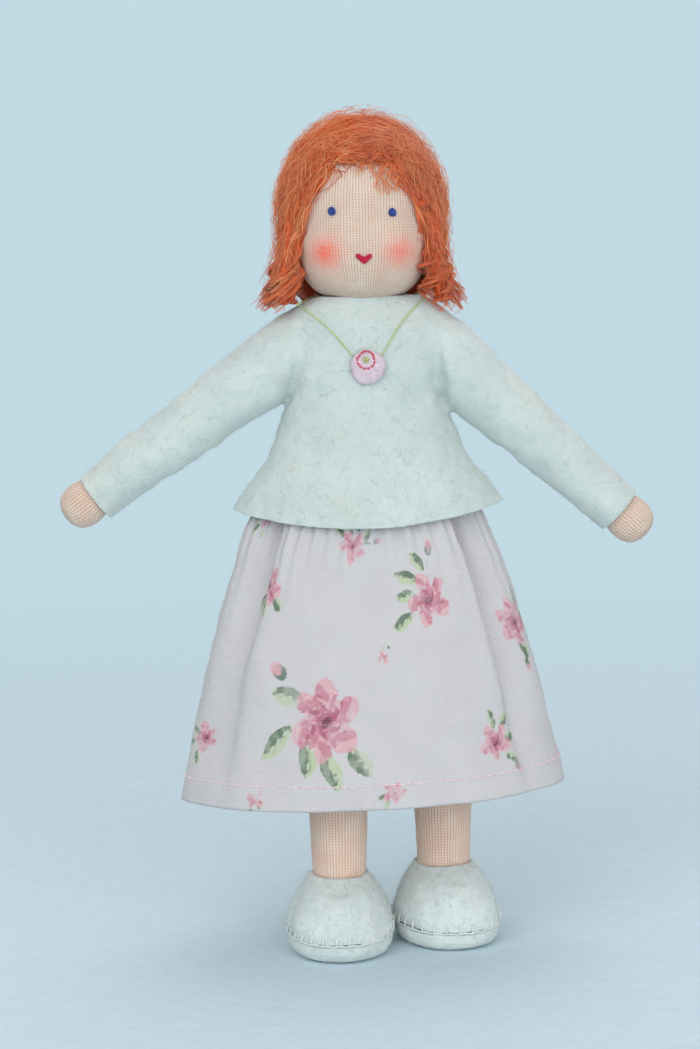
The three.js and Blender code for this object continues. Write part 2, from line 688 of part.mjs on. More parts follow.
function makeLeg(name, side) {
  const stance = STANCES[name];
  const hip = new THREE.Vector3(side * HIP_SPREAD, 0, HIP_Z);
  const knee = new THREE.Vector3(stance.x, stance.y, KNEE_Z);
  const thighLength = hip.distanceTo(knee);
  const thigh = new THREE.Group();
  thigh.position.copy(knee);
  thigh.quaternion.setFromUnitVectors(new THREE.Vector3(0, 0, 1), hip.clone().sub(knee).normalize());
  doll.add(thigh);
  thigh.updateMatrixWorld(true);

  const kneeRoom = bendRoom(KNEE_RADIUS + TURN_GAP, KNEE_RADIUS * 2, [180, 180 + KNEE_BEND / 2, 180 + KNEE_BEND]);
  const hipsRoom = solid(
    rod(HIPS_RADIUS + TURN_GAP, -2 * HIPS_HALF_WIDTH, 2 * HIPS_HALF_WIDTH, ROOM_SIDES + 8)
      .rotateY(Math.PI / 2)
      .translate(0, 0, HIP_Z)
      .applyMatrix4(thigh.matrixWorld.clone().invert()),
  );
  const wool = solid(
    turned([
      [0, 0],
      [KNEE_RADIUS - 0.1, 0],
      [lerp(KNEE_RADIUS, THIGH_RADIUS, 0.6), thighLength * 0.35],
      [THIGH_RADIUS, thighLength * 0.6],
      [THIGH_RADIUS - 0.2, thighLength],
      [0, thighLength],
    ]),
  );
  const bore = solid(rod(wireRoom, -1, thighLength + 1));
  piece(thigh, name + "_thigh", cut(wool, kneeRoom, hipsRoom, bore), "skin");
  const wireLow = KNEE_RADIUS + 2 * TURN_GAP;
  const wireHigh = thighLength - HIPS_RADIUS - 3 * TURN_GAP;
  piece(thigh, name + "_thigh_wire", solid(rod(WIRE_RADIUS, wireLow, wireHigh)), "wire");

  const shin = new THREE.Group();
  shin.position.copy(knee);
  doll.add(shin);
  const shinProfile = [
    ...roundEnd(ANKLE_RADIUS).map(([radius, z]) => [radius, z - SHIN_LENGTH]),
    [lerp(ANKLE_RADIUS, CALF_RADIUS, 0.75), -SHIN_LENGTH * 0.62],
    [CALF_RADIUS, -SHIN_LENGTH * 0.35],
    ...roundEnd(KNEE_RADIUS).map(([radius, z]) => [radius, -z]).reverse(),
  ];
  const shinBore = solid(rod(wireRoom, -SHIN_LENGTH, 2 * KNEE_RADIUS));
  piece(shin, name + "_shin", cut(solid(turned(shinProfile)), shinBore), "skin");
  const shinWireHigh = KNEE_RADIUS - SEAT_GAP;
  piece(shin, name + "_shin_wire", solid(rod(WIRE_RADIUS, SEAT_GAP - SHIN_LENGTH, shinWireHigh)), "wire");

  const foot = new THREE.Group();
  foot.position.set(stance.x, stance.y, 0);
  foot.rotation.z = rad(stance.turn);
  doll.add(foot);
  makeSlipper(name, foot, stance.turn);
}

// Neck, head and hair

function makeNeck() {
  const low = NOD_Z - NECK_LENGTH;
  const profile = [
    [0, low],
    [NECK_RADIUS, low],
    ...roundEnd(NECK_RADIUS, 4).map(([radius, z]) => [radius, NOD_Z - z]).reverse(),
  ];
  piece(doll, "neck", solid(turned(profile)), "wool");
  const tieRadius = NECK_RADIUS + SEAT_GAP + THREAD_RADIUS;
  const tie = new THREE.TorusGeometry(tieRadius, THREAD_RADIUS, THREAD_SIDES, 20);
  piece(doll, "neck_tie", solid(moved(tie, 0, 0, NECKLINE_Z - SEAT_GAP)), "whiteThread");
}

// The head's half sizes at a height above its middle: an egg drawn in a little at the eyes.
function headSection(rise, wall) {
  const height = HEAD_HALF_HEIGHT - wall;
  const round = Math.sqrt(Math.max(0, 1 - (rise / height) ** 2));
  const drawnIn = 1 - 0.025 * Math.exp(-(((rise - EYE_RISE) / 3) ** 2));
  return {
    z: HEAD_Z + rise,
    halfWidth: (HEAD_HALF_WIDTH - wall) * round * drawnIn,
    halfDepth: (HEAD_HALF_DEPTH - wall) * round * drawnIn,
  };
}

function headLoft(wall, sides = HEAD_SIDES, rows = HEAD_ROWS) {
  const height = HEAD_HALF_HEIGHT - wall;
  const poles = 0.08; // the first and last rings, as a share of a row
  const rings = Array.from({ length: rows + 1 }, (_, i) => {
    const row = THREE.MathUtils.clamp(i, poles, rows - poles);
    return oval(headSection(-height * Math.cos((Math.PI * row) / rows), wall), sides);
  });
  return skinned(rings);
}

function faceY(x, rise) {
  const { halfWidth, halfDepth } = headSection(rise, 0);
  return -halfDepth * Math.sqrt(1 - (x / halfWidth) ** 2);
}

const neckBallRoom = solid(ball(NECK_RADIUS + TURN_GAP, [0, 0, NOD_Z], ROOM_SIDES));
const tieRoom = solid(rod(NECK_RADIUS + TURN_GAP, NOD_Z - 2 * NECK_RADIUS, NOD_Z, ROOM_SIDES));

function makeHead() {
  const neckHole = join(neckBallRoom, tieRoom);
  const inner = (wall) => solid(headLoft(wall, INNER_HEAD_SIDES, INNER_HEAD_ROWS));
  piece(doll, "head_skin", cut(solid(headLoft(0)), inner(KNIT), neckHole), "skin");
  piece(doll, "head_filling", cut(inner(KNIT + SEAT_GAP), neckHole), "wool");

  for (const [name, side] of Object.entries(SIDES_OF_DOLL)) {
    const x = side * EYE_SPREAD;
    const knot = ball(EYE_RADIUS, [0, 0, 0], 10).scale(1, 0.4, 1);
    const turn = -Math.atan2(x / HEAD_HALF_WIDTH ** 2, -faceY(x, EYE_RISE) / HEAD_HALF_DEPTH ** 2);
    knot.rotateZ(-turn).translate(x, faceY(x, EYE_RISE), HEAD_Z + EYE_RISE);
    const out = SEAT_GAP / 2 + 0.4 * EYE_RADIUS;
    knot.translate(-out * Math.sin(turn), -out * Math.cos(turn), 0);
    piece(doll, name + "_eye", solid(knot), "eye");
  }

  // Mouth: a shallow V of satin stitches
  const half = MOUTH_WIDTH / 2;
  const outline = new THREE.Shape([
    new THREE.Vector2(-half, half * 0.55),
    new THREE.Vector2(0, -half * 0.5),
    new THREE.Vector2(half, half * 0.55),
    new THREE.Vector2(half * 0.35, half * 0.5),
    new THREE.Vector2(0, half * 0.15),
    new THREE.Vector2(-half * 0.35, half * 0.5),
  ]);
  const mouth = new THREE.ExtrudeGeometry(outline, { depth: 0.4, bevelEnabled: false })
    .rotateX(Math.PI / 2)
    .translate(0, faceY(0, -MOUTH_DROP) - SEAT_GAP, HEAD_Z - MOUTH_DROP);
  piece(doll, "mouth", solid(mouth), "mouth");
}

function makeHair() {
  const faceRoom = solid(headLoft(-SEAT_GAP));
  const mass = new THREE.SphereGeometry(1, HEAD_SIDES, HEAD_ROWS + 2)
    .rotateX(Math.PI / 2)
    .scale(HEAD_HALF_WIDTH + HAIR_THICK, HEAD_HALF_DEPTH + CROWN_THICK, HEAD_HALF_HEIGHT + CROWN_THICK)
    .translate(0, HAIR_SHIFT, HEAD_Z);
  const far = 2 * HEAD_HALF_HEIGHT;
  const lockTop = HEAD_Z + LOCK_TOP_RISE;
  const backTop = HEAD_Z - BACK_HAIR_TOP_DROP;
  // Parting line of the face: an arch open below
  const arch = new THREE.Shape();
  arch.moveTo(-FACE_HALF_WIDTH, -far);
  arch.lineTo(-FACE_HALF_WIDTH, HAIRLINE_RISE * 0.3);
  arch.quadraticCurveTo(-FACE_HALF_WIDTH * 0.9, HAIRLINE_RISE, 0, HAIRLINE_RISE);
  arch.quadraticCurveTo(FACE_HALF_WIDTH * 0.9, HAIRLINE_RISE, FACE_HALF_WIDTH, HAIRLINE_RISE * 0.3);
  arch.lineTo(FACE_HALF_WIDTH, -far);
  const face = solid(
    new THREE.ExtrudeGeometry(arch, { depth: far, bevelEnabled: false, curveSegments: 6 })
      .rotateX(Math.PI / 2)
      .translate(0, -BACK_HAIR_START, HEAD_Z),
  );
  const frontBelow = solid(box([-far, -far, 0], [far, BACK_HAIR_START, lockTop]));
  const backBelow = solid(box([-far, 0, 0], [far, far, backTop]));
  piece(doll, "hair_cap", cut(solid(mass), faceRoom, face, frontBelow, backBelow), "hair");

  const ends = HEAD_Z - HAIR_LENGTH;
  const edge = HEAD_HALF_WIDTH + HAIR_THICK;
  const rear = HEAD_HALF_DEPTH + CROWN_THICK;
  // Back hair from its ends up, as shares of the mass's half width and half depth
  const backShape = [
    [ends, 0.78, 0.71],
    [lerp(ends, backTop, 0.5), 0.88, 0.84],
    [backTop - SEAT_GAP, 0.84, 0.81],
  ];
  const backSections = backShape.map(([z, width, depth]) => ({
    z,
    halfWidth: edge * width,
    halfDepth: rear * depth,
    y: BACK_HAIR_START,
  }));
  const nape = solid(rod(NECK_RADIUS + NAPE_ROOM, ends - 1, HEAD_Z, 20));
  const front = solid(box([-far, -far, 0], [far, BACK_HAIR_START + SEAT_GAP, far + HEAD_Z]));
  piece(doll, "hair_back", cut(solid(loft(backSections, 24)), faceRoom, nape, front), "hair");

  const behind = solid(box([-far, BACK_HAIR_START - SEAT_GAP, 0], [far, far, far + HEAD_Z]));
  for (const [name, side] of Object.entries(SIDES_OF_DOLL)) {
    const { x: lockX, halfWidth } = LOCKS[name];
    const topX = side * (edge - SEAT_GAP - LOCK_TOP_HALF_WIDTH);
    // Each lock swells outwards above its ends
    const lockShape = [
      [0, lockX, halfWidth * 0.85, 0.87],
      [0.15, lockX, halfWidth, 1],
      [0.5, topX, LOCK_TOP_HALF_WIDTH * 1.15, 1],
      [1, topX, LOCK_TOP_HALF_WIDTH, 1],
    ];
    const sections = lockShape.map(([rise, x, width, depth]) => ({
      z: lerp(ends, lockTop - SEAT_GAP, rise),
      x,
      y: -LOCK_FORWARD,
      halfWidth: width,
      halfDepth: depth * LOCK_HALF_DEPTH,
    }));
    piece(doll, "hair_" + name, cut(solid(loft(sections, 16)), faceRoom, behind), "hair");
  }
}

// Necklace: the front thread and the pendant hang from the shoulders, and the rest lies round the neck

function makeNecklace() {
  const lift = THREAD_RADIUS + SEAT_GAP;
  const pendantZ = NECKLINE_Z - PENDANT_DROP;
  const hangZ = pendantZ + PENDANT_RADIUS * 0.8;
  const shoulder = (side) =>
    new THREE.Vector3(side * NECKLACE_SPREAD, chestY(NECKLACE_SPREAD, NECKLINE_Z - 1.6) - lift, NECKLINE_Z - 0.7);
  const count = 6;
  for (const [name, side] of Object.entries(SIDES_OF_DOLL)) {
    const start = shoulder(side);
    const endX = PENDANT_X + side * PENDANT_RADIUS * 0.9;
    const points = Array.from({ length: count + 1 }, (_, i) => {
      const x = lerp(start.x, endX, i / count);
      const z = lerp(start.z, hangZ, i / count);
      const y = chestY(x, z) - lift;
      return new THREE.Vector3(x, i ? y : start.y, z);
    });
    piece(doll, "necklace_" + name, solid(thread(points, THREAD_RADIUS, 12)), "thread");
  }

  const disc = (radius, thick) => new THREE.CylinderGeometry(radius, radius, thick, 20);
  const back = chestY(0, pendantZ) - SEAT_GAP;
  const centre = back - PENDANT_THICK / 2;
  piece(doll, "pendant", solid(moved(disc(PENDANT_RADIUS, PENDANT_THICK), PENDANT_X, centre, pendantZ)), "pendant");
  const face = back - PENDANT_THICK;
  const onFace = [PENDANT_X, face - SEAT_GAP, pendantZ + RING_RISE];
  const ring = new THREE.TorusGeometry(RING_RADIUS, RING_THREAD_RADIUS, 5, 16).rotateX(Math.PI / 2);
  piece(doll, "pendant_ring", solid(moved(ring, ...onFace)), "pendantThread");
  piece(doll, "pendant_knot", solid(moved(disc(KNOT_RADIUS, KNOT_THICK), ...onFace)), "pendantKnot");

  const behind = NECKLINE_RADIUS + FELT;
  const around = Array.from({ length: 9 }, (_, i) => {
    const angle = (i / 8) * Math.PI;
    return new THREE.Vector3(
      NECKLACE_SPREAD * Math.cos(angle),
      lerp(shoulder(1).y + 0.8, behind, Math.sin(angle)),
      NECKLINE_Z + lift - 0.9 * Math.abs(Math.cos(angle)) ** 3,
    );
  });
  piece(doll, "necklace_back", solid(thread(around, THREAD_RADIUS, 18)), "thread");
}

makeTorso();
makeTop();
makeSkirt();
makeHips();
for (const [name, side] of Object.entries(SIDES_OF_DOLL)) {
  makeArm(name, side);
  makeLeg(name, side);
}
makeNeck();
makeHead();
makeHair();
makeNecklace();

// The doll stands with the middle of its outline over the origin.
doll.updateMatrixWorld(true);
const middle = new THREE.Box3().setFromObject(doll, true).getCenter(new THREE.Vector3());
const stand = new THREE.Group();
doll.position.set(-middle.x, -middle.y, 0);
stand.add(doll);

export default stand;
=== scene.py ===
"""A bendable dollhouse doll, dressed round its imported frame.

Knit, wool, felt, cotton and mohair over a soft wire armature. Shapes are worked out in millimetres and
written to the meshes in metres. +Z is up and the doll faces -Y, so its own right hand is at -X.
"""
import json
import logging
import math
from dataclasses import dataclass, field
from enum import Enum
from typing import Callable, ClassVar, Sequence

import bmesh
import bpy
import numpy as np
from mathutils import Matrix, Vector
from mathutils.bvhtree import BVHTree


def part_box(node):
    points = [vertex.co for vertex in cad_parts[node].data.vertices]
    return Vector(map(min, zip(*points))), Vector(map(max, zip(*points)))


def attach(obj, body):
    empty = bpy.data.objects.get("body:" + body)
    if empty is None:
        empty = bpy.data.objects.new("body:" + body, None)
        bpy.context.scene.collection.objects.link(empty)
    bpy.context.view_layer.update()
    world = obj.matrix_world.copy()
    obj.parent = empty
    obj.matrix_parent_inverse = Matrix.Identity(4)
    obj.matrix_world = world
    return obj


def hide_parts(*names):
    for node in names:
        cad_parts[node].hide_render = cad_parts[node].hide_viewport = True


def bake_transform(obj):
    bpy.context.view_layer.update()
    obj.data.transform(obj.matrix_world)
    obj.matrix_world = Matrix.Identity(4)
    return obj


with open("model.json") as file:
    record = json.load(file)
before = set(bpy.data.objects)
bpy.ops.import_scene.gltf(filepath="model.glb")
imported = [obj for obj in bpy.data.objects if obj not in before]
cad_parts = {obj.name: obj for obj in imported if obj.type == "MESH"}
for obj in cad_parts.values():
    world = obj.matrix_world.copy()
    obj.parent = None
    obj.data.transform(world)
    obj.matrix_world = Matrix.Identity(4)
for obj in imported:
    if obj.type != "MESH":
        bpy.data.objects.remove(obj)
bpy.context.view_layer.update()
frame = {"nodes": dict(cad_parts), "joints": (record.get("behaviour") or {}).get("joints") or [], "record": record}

log = logging.getLogger("doll")
MM = 0.001
TAU = 2 * math.pi
UP = np.array([0, 0, 1.0])
Grid = np.ndarray
Piece = bpy.types.Object
Socket = bpy.types.NodeSocket
PIVOTS = {joint["name"]: np.array(joint["pos_m"]) / MM for joint in frame["joints"]}
MIDDLE_X, MIDDLE_Y = PIVOTS["hip_bend"][:2]


class Side(Enum):
    """A side of the doll's own body, with its direction along X."""

    RIGHT = -1
    LEFT = 1

    @property
    def word(self) -> str:
        """The side as it stands in a node's name."""
        return self.name.lower()

    def of(self, part: str) -> str:
        """The full name of a part, a body or a joint on this side."""
        return f"{self.word}_{part}"

    def pivot(self, joint: str) -> Grid:
        """Where one of this side's joints turns."""
        return PIVOTS[self.of(joint)]


def box_mm(node: str) -> tuple[Grid, Grid]:
    """Lowest and highest corner of a frame node."""
    low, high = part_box(node)
    return np.array(low) / MM, np.array(high) / MM


def place_mm(node: str) -> tuple[Grid, Grid]:
    """Middle and half size of a frame node's box."""
    low, high = box_mm(node)
    return (low + high) / 2, (high - low) / 2


def linear(red: float, green: float, blue: float) -> tuple[float, float, float, float]:
    """Turns a colour given as 0 to 255 on screen into the linear colour a shader reads.

    Args:
        red, green, blue: the colour as it shows on screen.
    Returns:
        The linear colour with full alpha.
    """
    shares = [value / 255 for value in (red, green, blue)]
    bent = [s / 12.92 if s <= 0.04045 else ((s + 0.055) / 1.055) ** 2.4 for s in shares]
    return (*bent, 1.0)


def ripple(points: Grid, size: float, seed: int, waves: int = 20) -> Grid:
    """Smooth noise between about -1 and 1, made of plane waves in seeded directions.

    Args:
        points: places, the last axis holding x, y and z.
        size: length of the noise's features.
        seed: picks the waves.
        waves: number of waves added up.
    Returns:
        One value for each point.
    """
    draw = np.random.default_rng(seed)
    total = np.zeros(points.shape[:-1])
    for _ in range(waves):
        way = draw.normal(size=3)
        way *= TAU / (size * draw.uniform(0.7, 1.6) * np.linalg.norm(way))
        total += np.sin(points @ way + draw.uniform(0, TAU))
    return total / math.sqrt(waves / 2) * 0.6


def eased(value: Grid, low: float, high: float) -> Grid:
    """Rises smoothly from 0 at low to 1 at high."""
    share = np.clip((value - low) / (high - low), 0, 1)
    return share * share * (3 - 2 * share)


def bump(value: Grid, width: float) -> Grid:
    """A rounded bump that is 1 at 0 and fades over a width."""
    return np.exp(-((value / width) ** 2))


def along(points: Grid) -> Grid:
    """Distance along a row of points, starting at 0."""
    steps = np.linalg.norm(np.diff(points, axis=0), axis=1)
    return np.concatenate([[0], np.cumsum(steps)])


def heights_up(rings: Grid) -> Grid:
    """Mean distance over a surface from its first ring to each ring."""
    steps = np.linalg.norm(np.diff(rings, axis=0), axis=2).mean(axis=1)
    return np.concatenate([[0], np.cumsum(steps)])


def between(at: Grid | float, marks: Grid, rows: Grid) -> Grid:
    """Rows of a table read at places between its marks."""
    return np.stack([np.interp(at, marks, column) for column in rows.T], -1)


def unit(vectors: Grid) -> Grid:
    """The same directions with a length of 1."""
    return vectors / np.maximum(np.linalg.norm(vectors, axis=-1, keepdims=True), 1e-9)


def level_ways(points: Grid, centre: Grid) -> Grid:
    """Level directions from an upright line through a centre to points."""
    way = points - np.array([centre[0], centre[1], 0])
    way[..., 2] = 0
    return unit(way)


def shifted(path: Grid, *moves: tuple[Grid, Grid]) -> Grid:
    """A path moved by pairs of a direction and an amount, both given at each of its points."""
    for way, amount in moves:
        path = path + way * amount[:, None]
    return path


def smooth_path(points: Sequence[Sequence[float]], count: int) -> Grid:
    """A smooth curve through given points, cut into equal steps.

    Args:
        points: places that the curve passes.
        count: points wanted along it.
    Returns:
        The points along the curve.
    """
    knots = np.array(points, float)
    padded = np.vstack([2 * knots[0] - knots[1], knots, 2 * knots[-1] - knots[-2]])
    t = np.linspace(0, 1, 40, endpoint=False)[:, None]
    fine = []
    for i in range(len(knots) - 1):
        a, b, c, d = padded[i : i + 4]
        bend = (2 * a - 5 * b + 4 * c - d) * t**2 + (3 * b - a - 3 * c + d) * t**3
        fine.append(0.5 * (2 * b + (c - a) * t + bend))
    curve = np.vstack([*fine, knots[-1:]])
    length = along(curve)
    return between(np.linspace(0, length[-1], count), length, curve)


def angles_round(count: int) -> Grid:
    """Even angles once round."""
    return np.arange(count) / count * TAU


def squared(value: Grid, power: float) -> Grid:
    """Bends a sine or a cosine so that a round outline's corners fill out as power rises past 2."""
    return np.sign(value) * np.abs(value) ** (2 / power)


def oval_ring(centre: Grid, half_width: float, half_depth: float, sides: int, power: float = 2.0) -> Grid:
    """A level ring of points.

    Args:
        centre: its middle.
        half_width, half_depth: its reach across and in depth.
        sides: points round it.
        power: 2 for an ellipse, more for fuller corners.
    Returns:
        The points.
    """
    angle = angles_round(sides)
    wide, deep = squared(np.cos(angle), power), squared(np.sin(angle), power)
    return centre + np.stack([half_width * wide, half_depth * deep, np.zeros(sides)], 1)


def smooth_rows(table: Grid, rows: int) -> Grid:
    """Smooth rows between the rows of a table.

    Args:
        table: the rows, whose first column rises.
        rows: rows wanted.
    Returns:
        The rows, evenly spaced by their first column.
    """
    at = np.linspace(table[0, 0], table[-1, 0], rows)
    slopes = np.gradient(table, table[:, 0], axis=0)
    found = np.clip(np.searchsorted(table[:, 0], at) - 1, 0, len(table) - 2)
    low, high = table[found], table[found + 1]
    gap = (high[:, 0] - low[:, 0])[:, None]
    t = ((at - low[:, 0]) / gap[:, 0])[:, None]
    made = (
        (2 * t**3 - 3 * t**2 + 1) * low
        + (t**3 - 2 * t**2 + t) * gap * slopes[found]
        + (3 * t**2 - 2 * t**3) * high
        + (t**3 - t**2) * gap * slopes[found + 1]
    )
    made[:, 0] = at
    return made


def lofted(sections: Sequence[Sequence[float]], rows: int, sides: int, centre: Grid) -> Grid:
    """Rings between given sections of height, half width, half depth and power.

    Args:
        sections: the sections, from the lowest up.
        rows, sides: rings wanted, and points in each.
        centre: x and y of the rings' middles.
    Returns:
        The rings.
    """
    table = smooth_rows(np.array(sections, float), rows)
    return np.stack([oval_ring(np.array([*centre, z]), w, d, sides, p) for z, w, d, p in table])


def turned_along(start: Grid, way: Grid, profile: Sequence[Sequence[float]], rows: int, sides: int) -> Grid:
    """Rings about a straight axis that lies across the depth.

    Args:
        start, way: where the axis starts, and its direction.
        profile: distance along the axis and radius, in order.
        rows, sides: rings wanted, and points in each.
    Returns:
        The rings.
    """
    way = way / np.linalg.norm(way)
    across = unit(np.cross([0.0, 1.0, 0.0], way))
    depth = np.cross(way, across)
    angle = angles_round(sides)
    round_way = np.cos(angle)[:, None] * across + np.sin(angle)[:, None] * depth
    table = smooth_rows(np.array(profile, float), rows)
    return np.stack([start + t * way + r * round_way for t, r in table])


def linked(name: str, data: bpy.types.ID) -> Piece:
    """Puts a mesh, a lamp or a camera in the scene as an object at the origin."""
    piece = bpy.data.objects.new(name, data)
    bpy.context.scene.collection.objects.link(piece)
    return piece


def mesh_piece(name: str, points: Grid, faces: Sequence, uvs: Grid | None = None) -> Piece:
    """Makes an object from points.

    Args:
        name: the piece's name.
        points: its corners.
        faces: corner numbers of each face, outwards.
        uvs: one pair for each corner of each face, if the piece has a map.
    Returns:
        The object, shaded smooth.
    """
    mesh = bpy.data.meshes.new(name)
    mesh.from_pydata((np.asarray(points) * MM).tolist(), [], [list(face) for face in faces])
    if uvs is not None:
        layer = mesh.uv_layers.new(name="UVMap")
        layer.data.foreach_set("uv", np.asarray(uvs, np.float32).ravel())
    mesh.polygons.foreach_set("use_smooth", [True] * len(mesh.polygons))
    mesh.update()
    return linked(name, mesh)


def wrapped(name: str, rings: Grid, u_size: float = 1, v_size: float = 1,
            caps: Sequence[bool] = (True, True)) -> Piece:
    """Makes a closed-round skin over rings of points that run counter-clockwise, the lowest ring first.

    Args:
        name: the piece's name.
        rings: rows of points, each as long as the next.
        u_size, v_size: the map's width once round, and its height for one millimetre along.
        caps: whether the first and the last ring are closed by a fan.
    Returns:
        The object.
    """
    rows, sides, _ = rings.shape
    points = rings.reshape(-1, 3)
    row, col = np.meshgrid(np.arange(rows - 1), np.arange(sides), indexing="ij")
    this, after = row * sides + col, row * sides + (col + 1) % sides
    faces = np.stack([this, after, after + sides, this + sides], -1).reshape(-1, 4).tolist()
    height = heights_up(rings)
    u = np.stack([col, col + 1, col + 1, col], -1) / sides * u_size
    v = np.stack([height[row], height[row], height[row + 1], height[row + 1]], -1) * v_size
    maps = np.stack([u, v], -1).reshape(-1, 2).tolist()
    for end, wanted in enumerate(caps):
        if not wanted:
            continue
        ring = end * (rows - 1)
        pole = len(points)
        points = np.vstack([points, rings[ring].mean(axis=0)])
        for i in range(sides):
            pair = (i, i + 1) if end else (i + 1, i)
            faces.append([pole, *(ring * sides + k % sides for k in pair)])
            maps += [[k / sides * u_size, height[ring] * v_size] for k in (i + 0.5, *pair)]
    return mesh_piece(name, points, faces, np.array(maps))


def baked(piece: Piece) -> Piece:
    """Turns what a piece's modifiers make into its plain mesh.

    Args:
        piece: the piece, which is changed.
    Returns:
        The same piece.
    """
    graph = bpy.context.evaluated_depsgraph_get()
    seen = piece.evaluated_get(graph)
    made = bpy.data.meshes.new_from_object(seen, preserve_all_data_layers=True, depsgraph=graph)
    piece.modifiers.clear()
    old = piece.data
    piece.data = made
    bpy.data.meshes.remove(old)
    return piece


def read_field(items: bpy.types.bpy_prop_collection, name: str, width: int = 1,
               kind: type = np.float32) -> Grid:
    """Reads one property of every item in a mesh's collection.

    Args:
        items: the collection, such as a mesh's vertices.
        name: the property.
        width: how many numbers it holds for each item.
        kind: how the numbers are stored.
    Returns:
        A row of numbers for each item, or one number for each if the width is 1.
    """
    flat = np.empty(len(items) * width, kind)
    items.foreach_get(name, flat)
    return flat.reshape(-1, width).astype(float) if width > 1 else flat


def vertices_of(piece: Piece) -> Grid:
    """A mesh's corners."""
    return read_field(piece.data.vertices, "co", 3) / MM


def normals_of(piece: Piece) -> Grid:
    """A mesh's corner normals."""
    return read_field(piece.data.vertex_normals, "vector", 3)


def face_middles(piece: Piece) -> Grid:
    """Middle of each face."""
    return read_field(piece.data.polygons, "center", 3) / MM


def move_to(piece: Piece, points: Grid) -> None:
    """Puts a mesh's corners at new places."""
    piece.data.vertices.foreach_set("co", (points * MM).ravel())
    piece.data.update()


def pushed(piece: Piece, relief: Callable[[Grid], Grid]) -> Piece:
    """Moves a piece's corners along their normals by a relief that depends on their places."""
    points, normals = vertices_of(piece), normals_of(piece)
    move_to(piece, points + normals * relief(points)[:, None])
    return piece


def point_values(piece: Piece, name: str, values: Grid) -> None:
    """Writes one number for each corner as a named attribute."""
    attribute = piece.data.attributes.new(name, "FLOAT", "POINT")
    attribute.data.foreach_set("value", np.asarray(values, np.float32))


def remeshed(piece: Piece, voxel: float, smoothing: int = 0) -> Piece:
    """Melts a piece's overlapping closed parts into one even skin.

    Args:
        piece: the piece, which is changed.
        voxel: size of the new skin's faces.
        smoothing: rounds of smoothing over the joins.
    Returns:
        The same piece.
    """
    remesh = piece.modifiers.new("Melt", "REMESH")
    remesh.mode = "VOXEL"
    remesh.voxel_size = voxel * MM
    remesh.use_smooth_shade = True
    if smoothing:
        smooth = piece.modifiers.new("Soften", "SMOOTH")
        smooth.factor = 0.5
        smooth.iterations = smoothing
    return baked(piece)


def joined(name: str, pieces: Sequence[Piece]) -> Piece:
    """Joins pieces into one mesh under one name.

    Args:
        name: the new piece's name.
        pieces: the pieces, which are used up.
    Returns:
        The new piece.
    """
    first = pieces[0]
    chosen = {"selected_objects": list(pieces), "selected_editable_objects": list(pieces)}
    with bpy.context.temp_override(active_object=first, object=first, **chosen):
        bpy.ops.object.join()
    first.name = name
    first.data.name = name
    return first


def part_of(piece: Piece, name: str, wanted: Grid) -> Piece:
    """Copies the wanted faces of a piece into a piece of its own.

    Args:
        piece: the whole piece.
        name: the new piece's name.
        wanted: one flag for each face.
    Returns:
        The new piece.
    """
    mesh = piece.data
    starts = read_field(mesh.polygons, "loop_start", kind=np.int32)
    totals = read_field(mesh.polygons, "loop_total", kind=np.int32)
    corners = read_field(mesh.loops, "vertex_index", kind=np.int32)
    kept = [corners[s : s + n] for s, n, flag in zip(starts, totals, wanted) if flag]
    used, renumbered = np.unique(np.concatenate(kept), return_inverse=True)
    cuts = np.cumsum([len(face) for face in kept])[:-1]
    return mesh_piece(name, vertices_of(piece)[used], np.split(renumbered, cuts))


def cut_off(piece: Piece, spot: Grid, way: Grid, within: Callable[[Grid], Grid] | None = None) -> None:
    """Cuts away what lies past a plane.

    Args:
        piece: the piece, which is changed.
        spot: a point on the plane.
        way: the plane's direction towards what goes.
        within: tells which points the cut reaches, if it isn't all.
    """
    work = bmesh.new()
    work.from_mesh(piece.data)

    def faces_where(test: Callable[[Grid], Grid]) -> list[bmesh.types.BMFace]:
        """The faces whose middles pass a test."""
        middles = np.array([face.calc_center_median() for face in work.faces]) / MM
        return [face for face, flag in zip(work.faces[:], test(middles)) if flag]

    geometry = work.verts[:] + work.edges[:] + work.faces[:]
    if within is not None:
        faces = faces_where(within)
        edges = {edge for face in faces for edge in face.edges}
        geometry = [*{vert for face in faces for vert in face.verts}, *edges, *faces]
    plane = {"plane_co": Vector(spot) * MM, "plane_no": Vector(way), "dist": 1e-7}
    bmesh.ops.bisect_plane(work, geom=geometry, clear_outer=within is None, **plane)
    if within is not None:
        past = faces_where(lambda middles: ((middles - spot) @ way > 0) & within(middles))
        bmesh.ops.delete(work, geom=past, context="FACES")
    work.to_mesh(piece.data)
    work.free()
    piece.data.update()


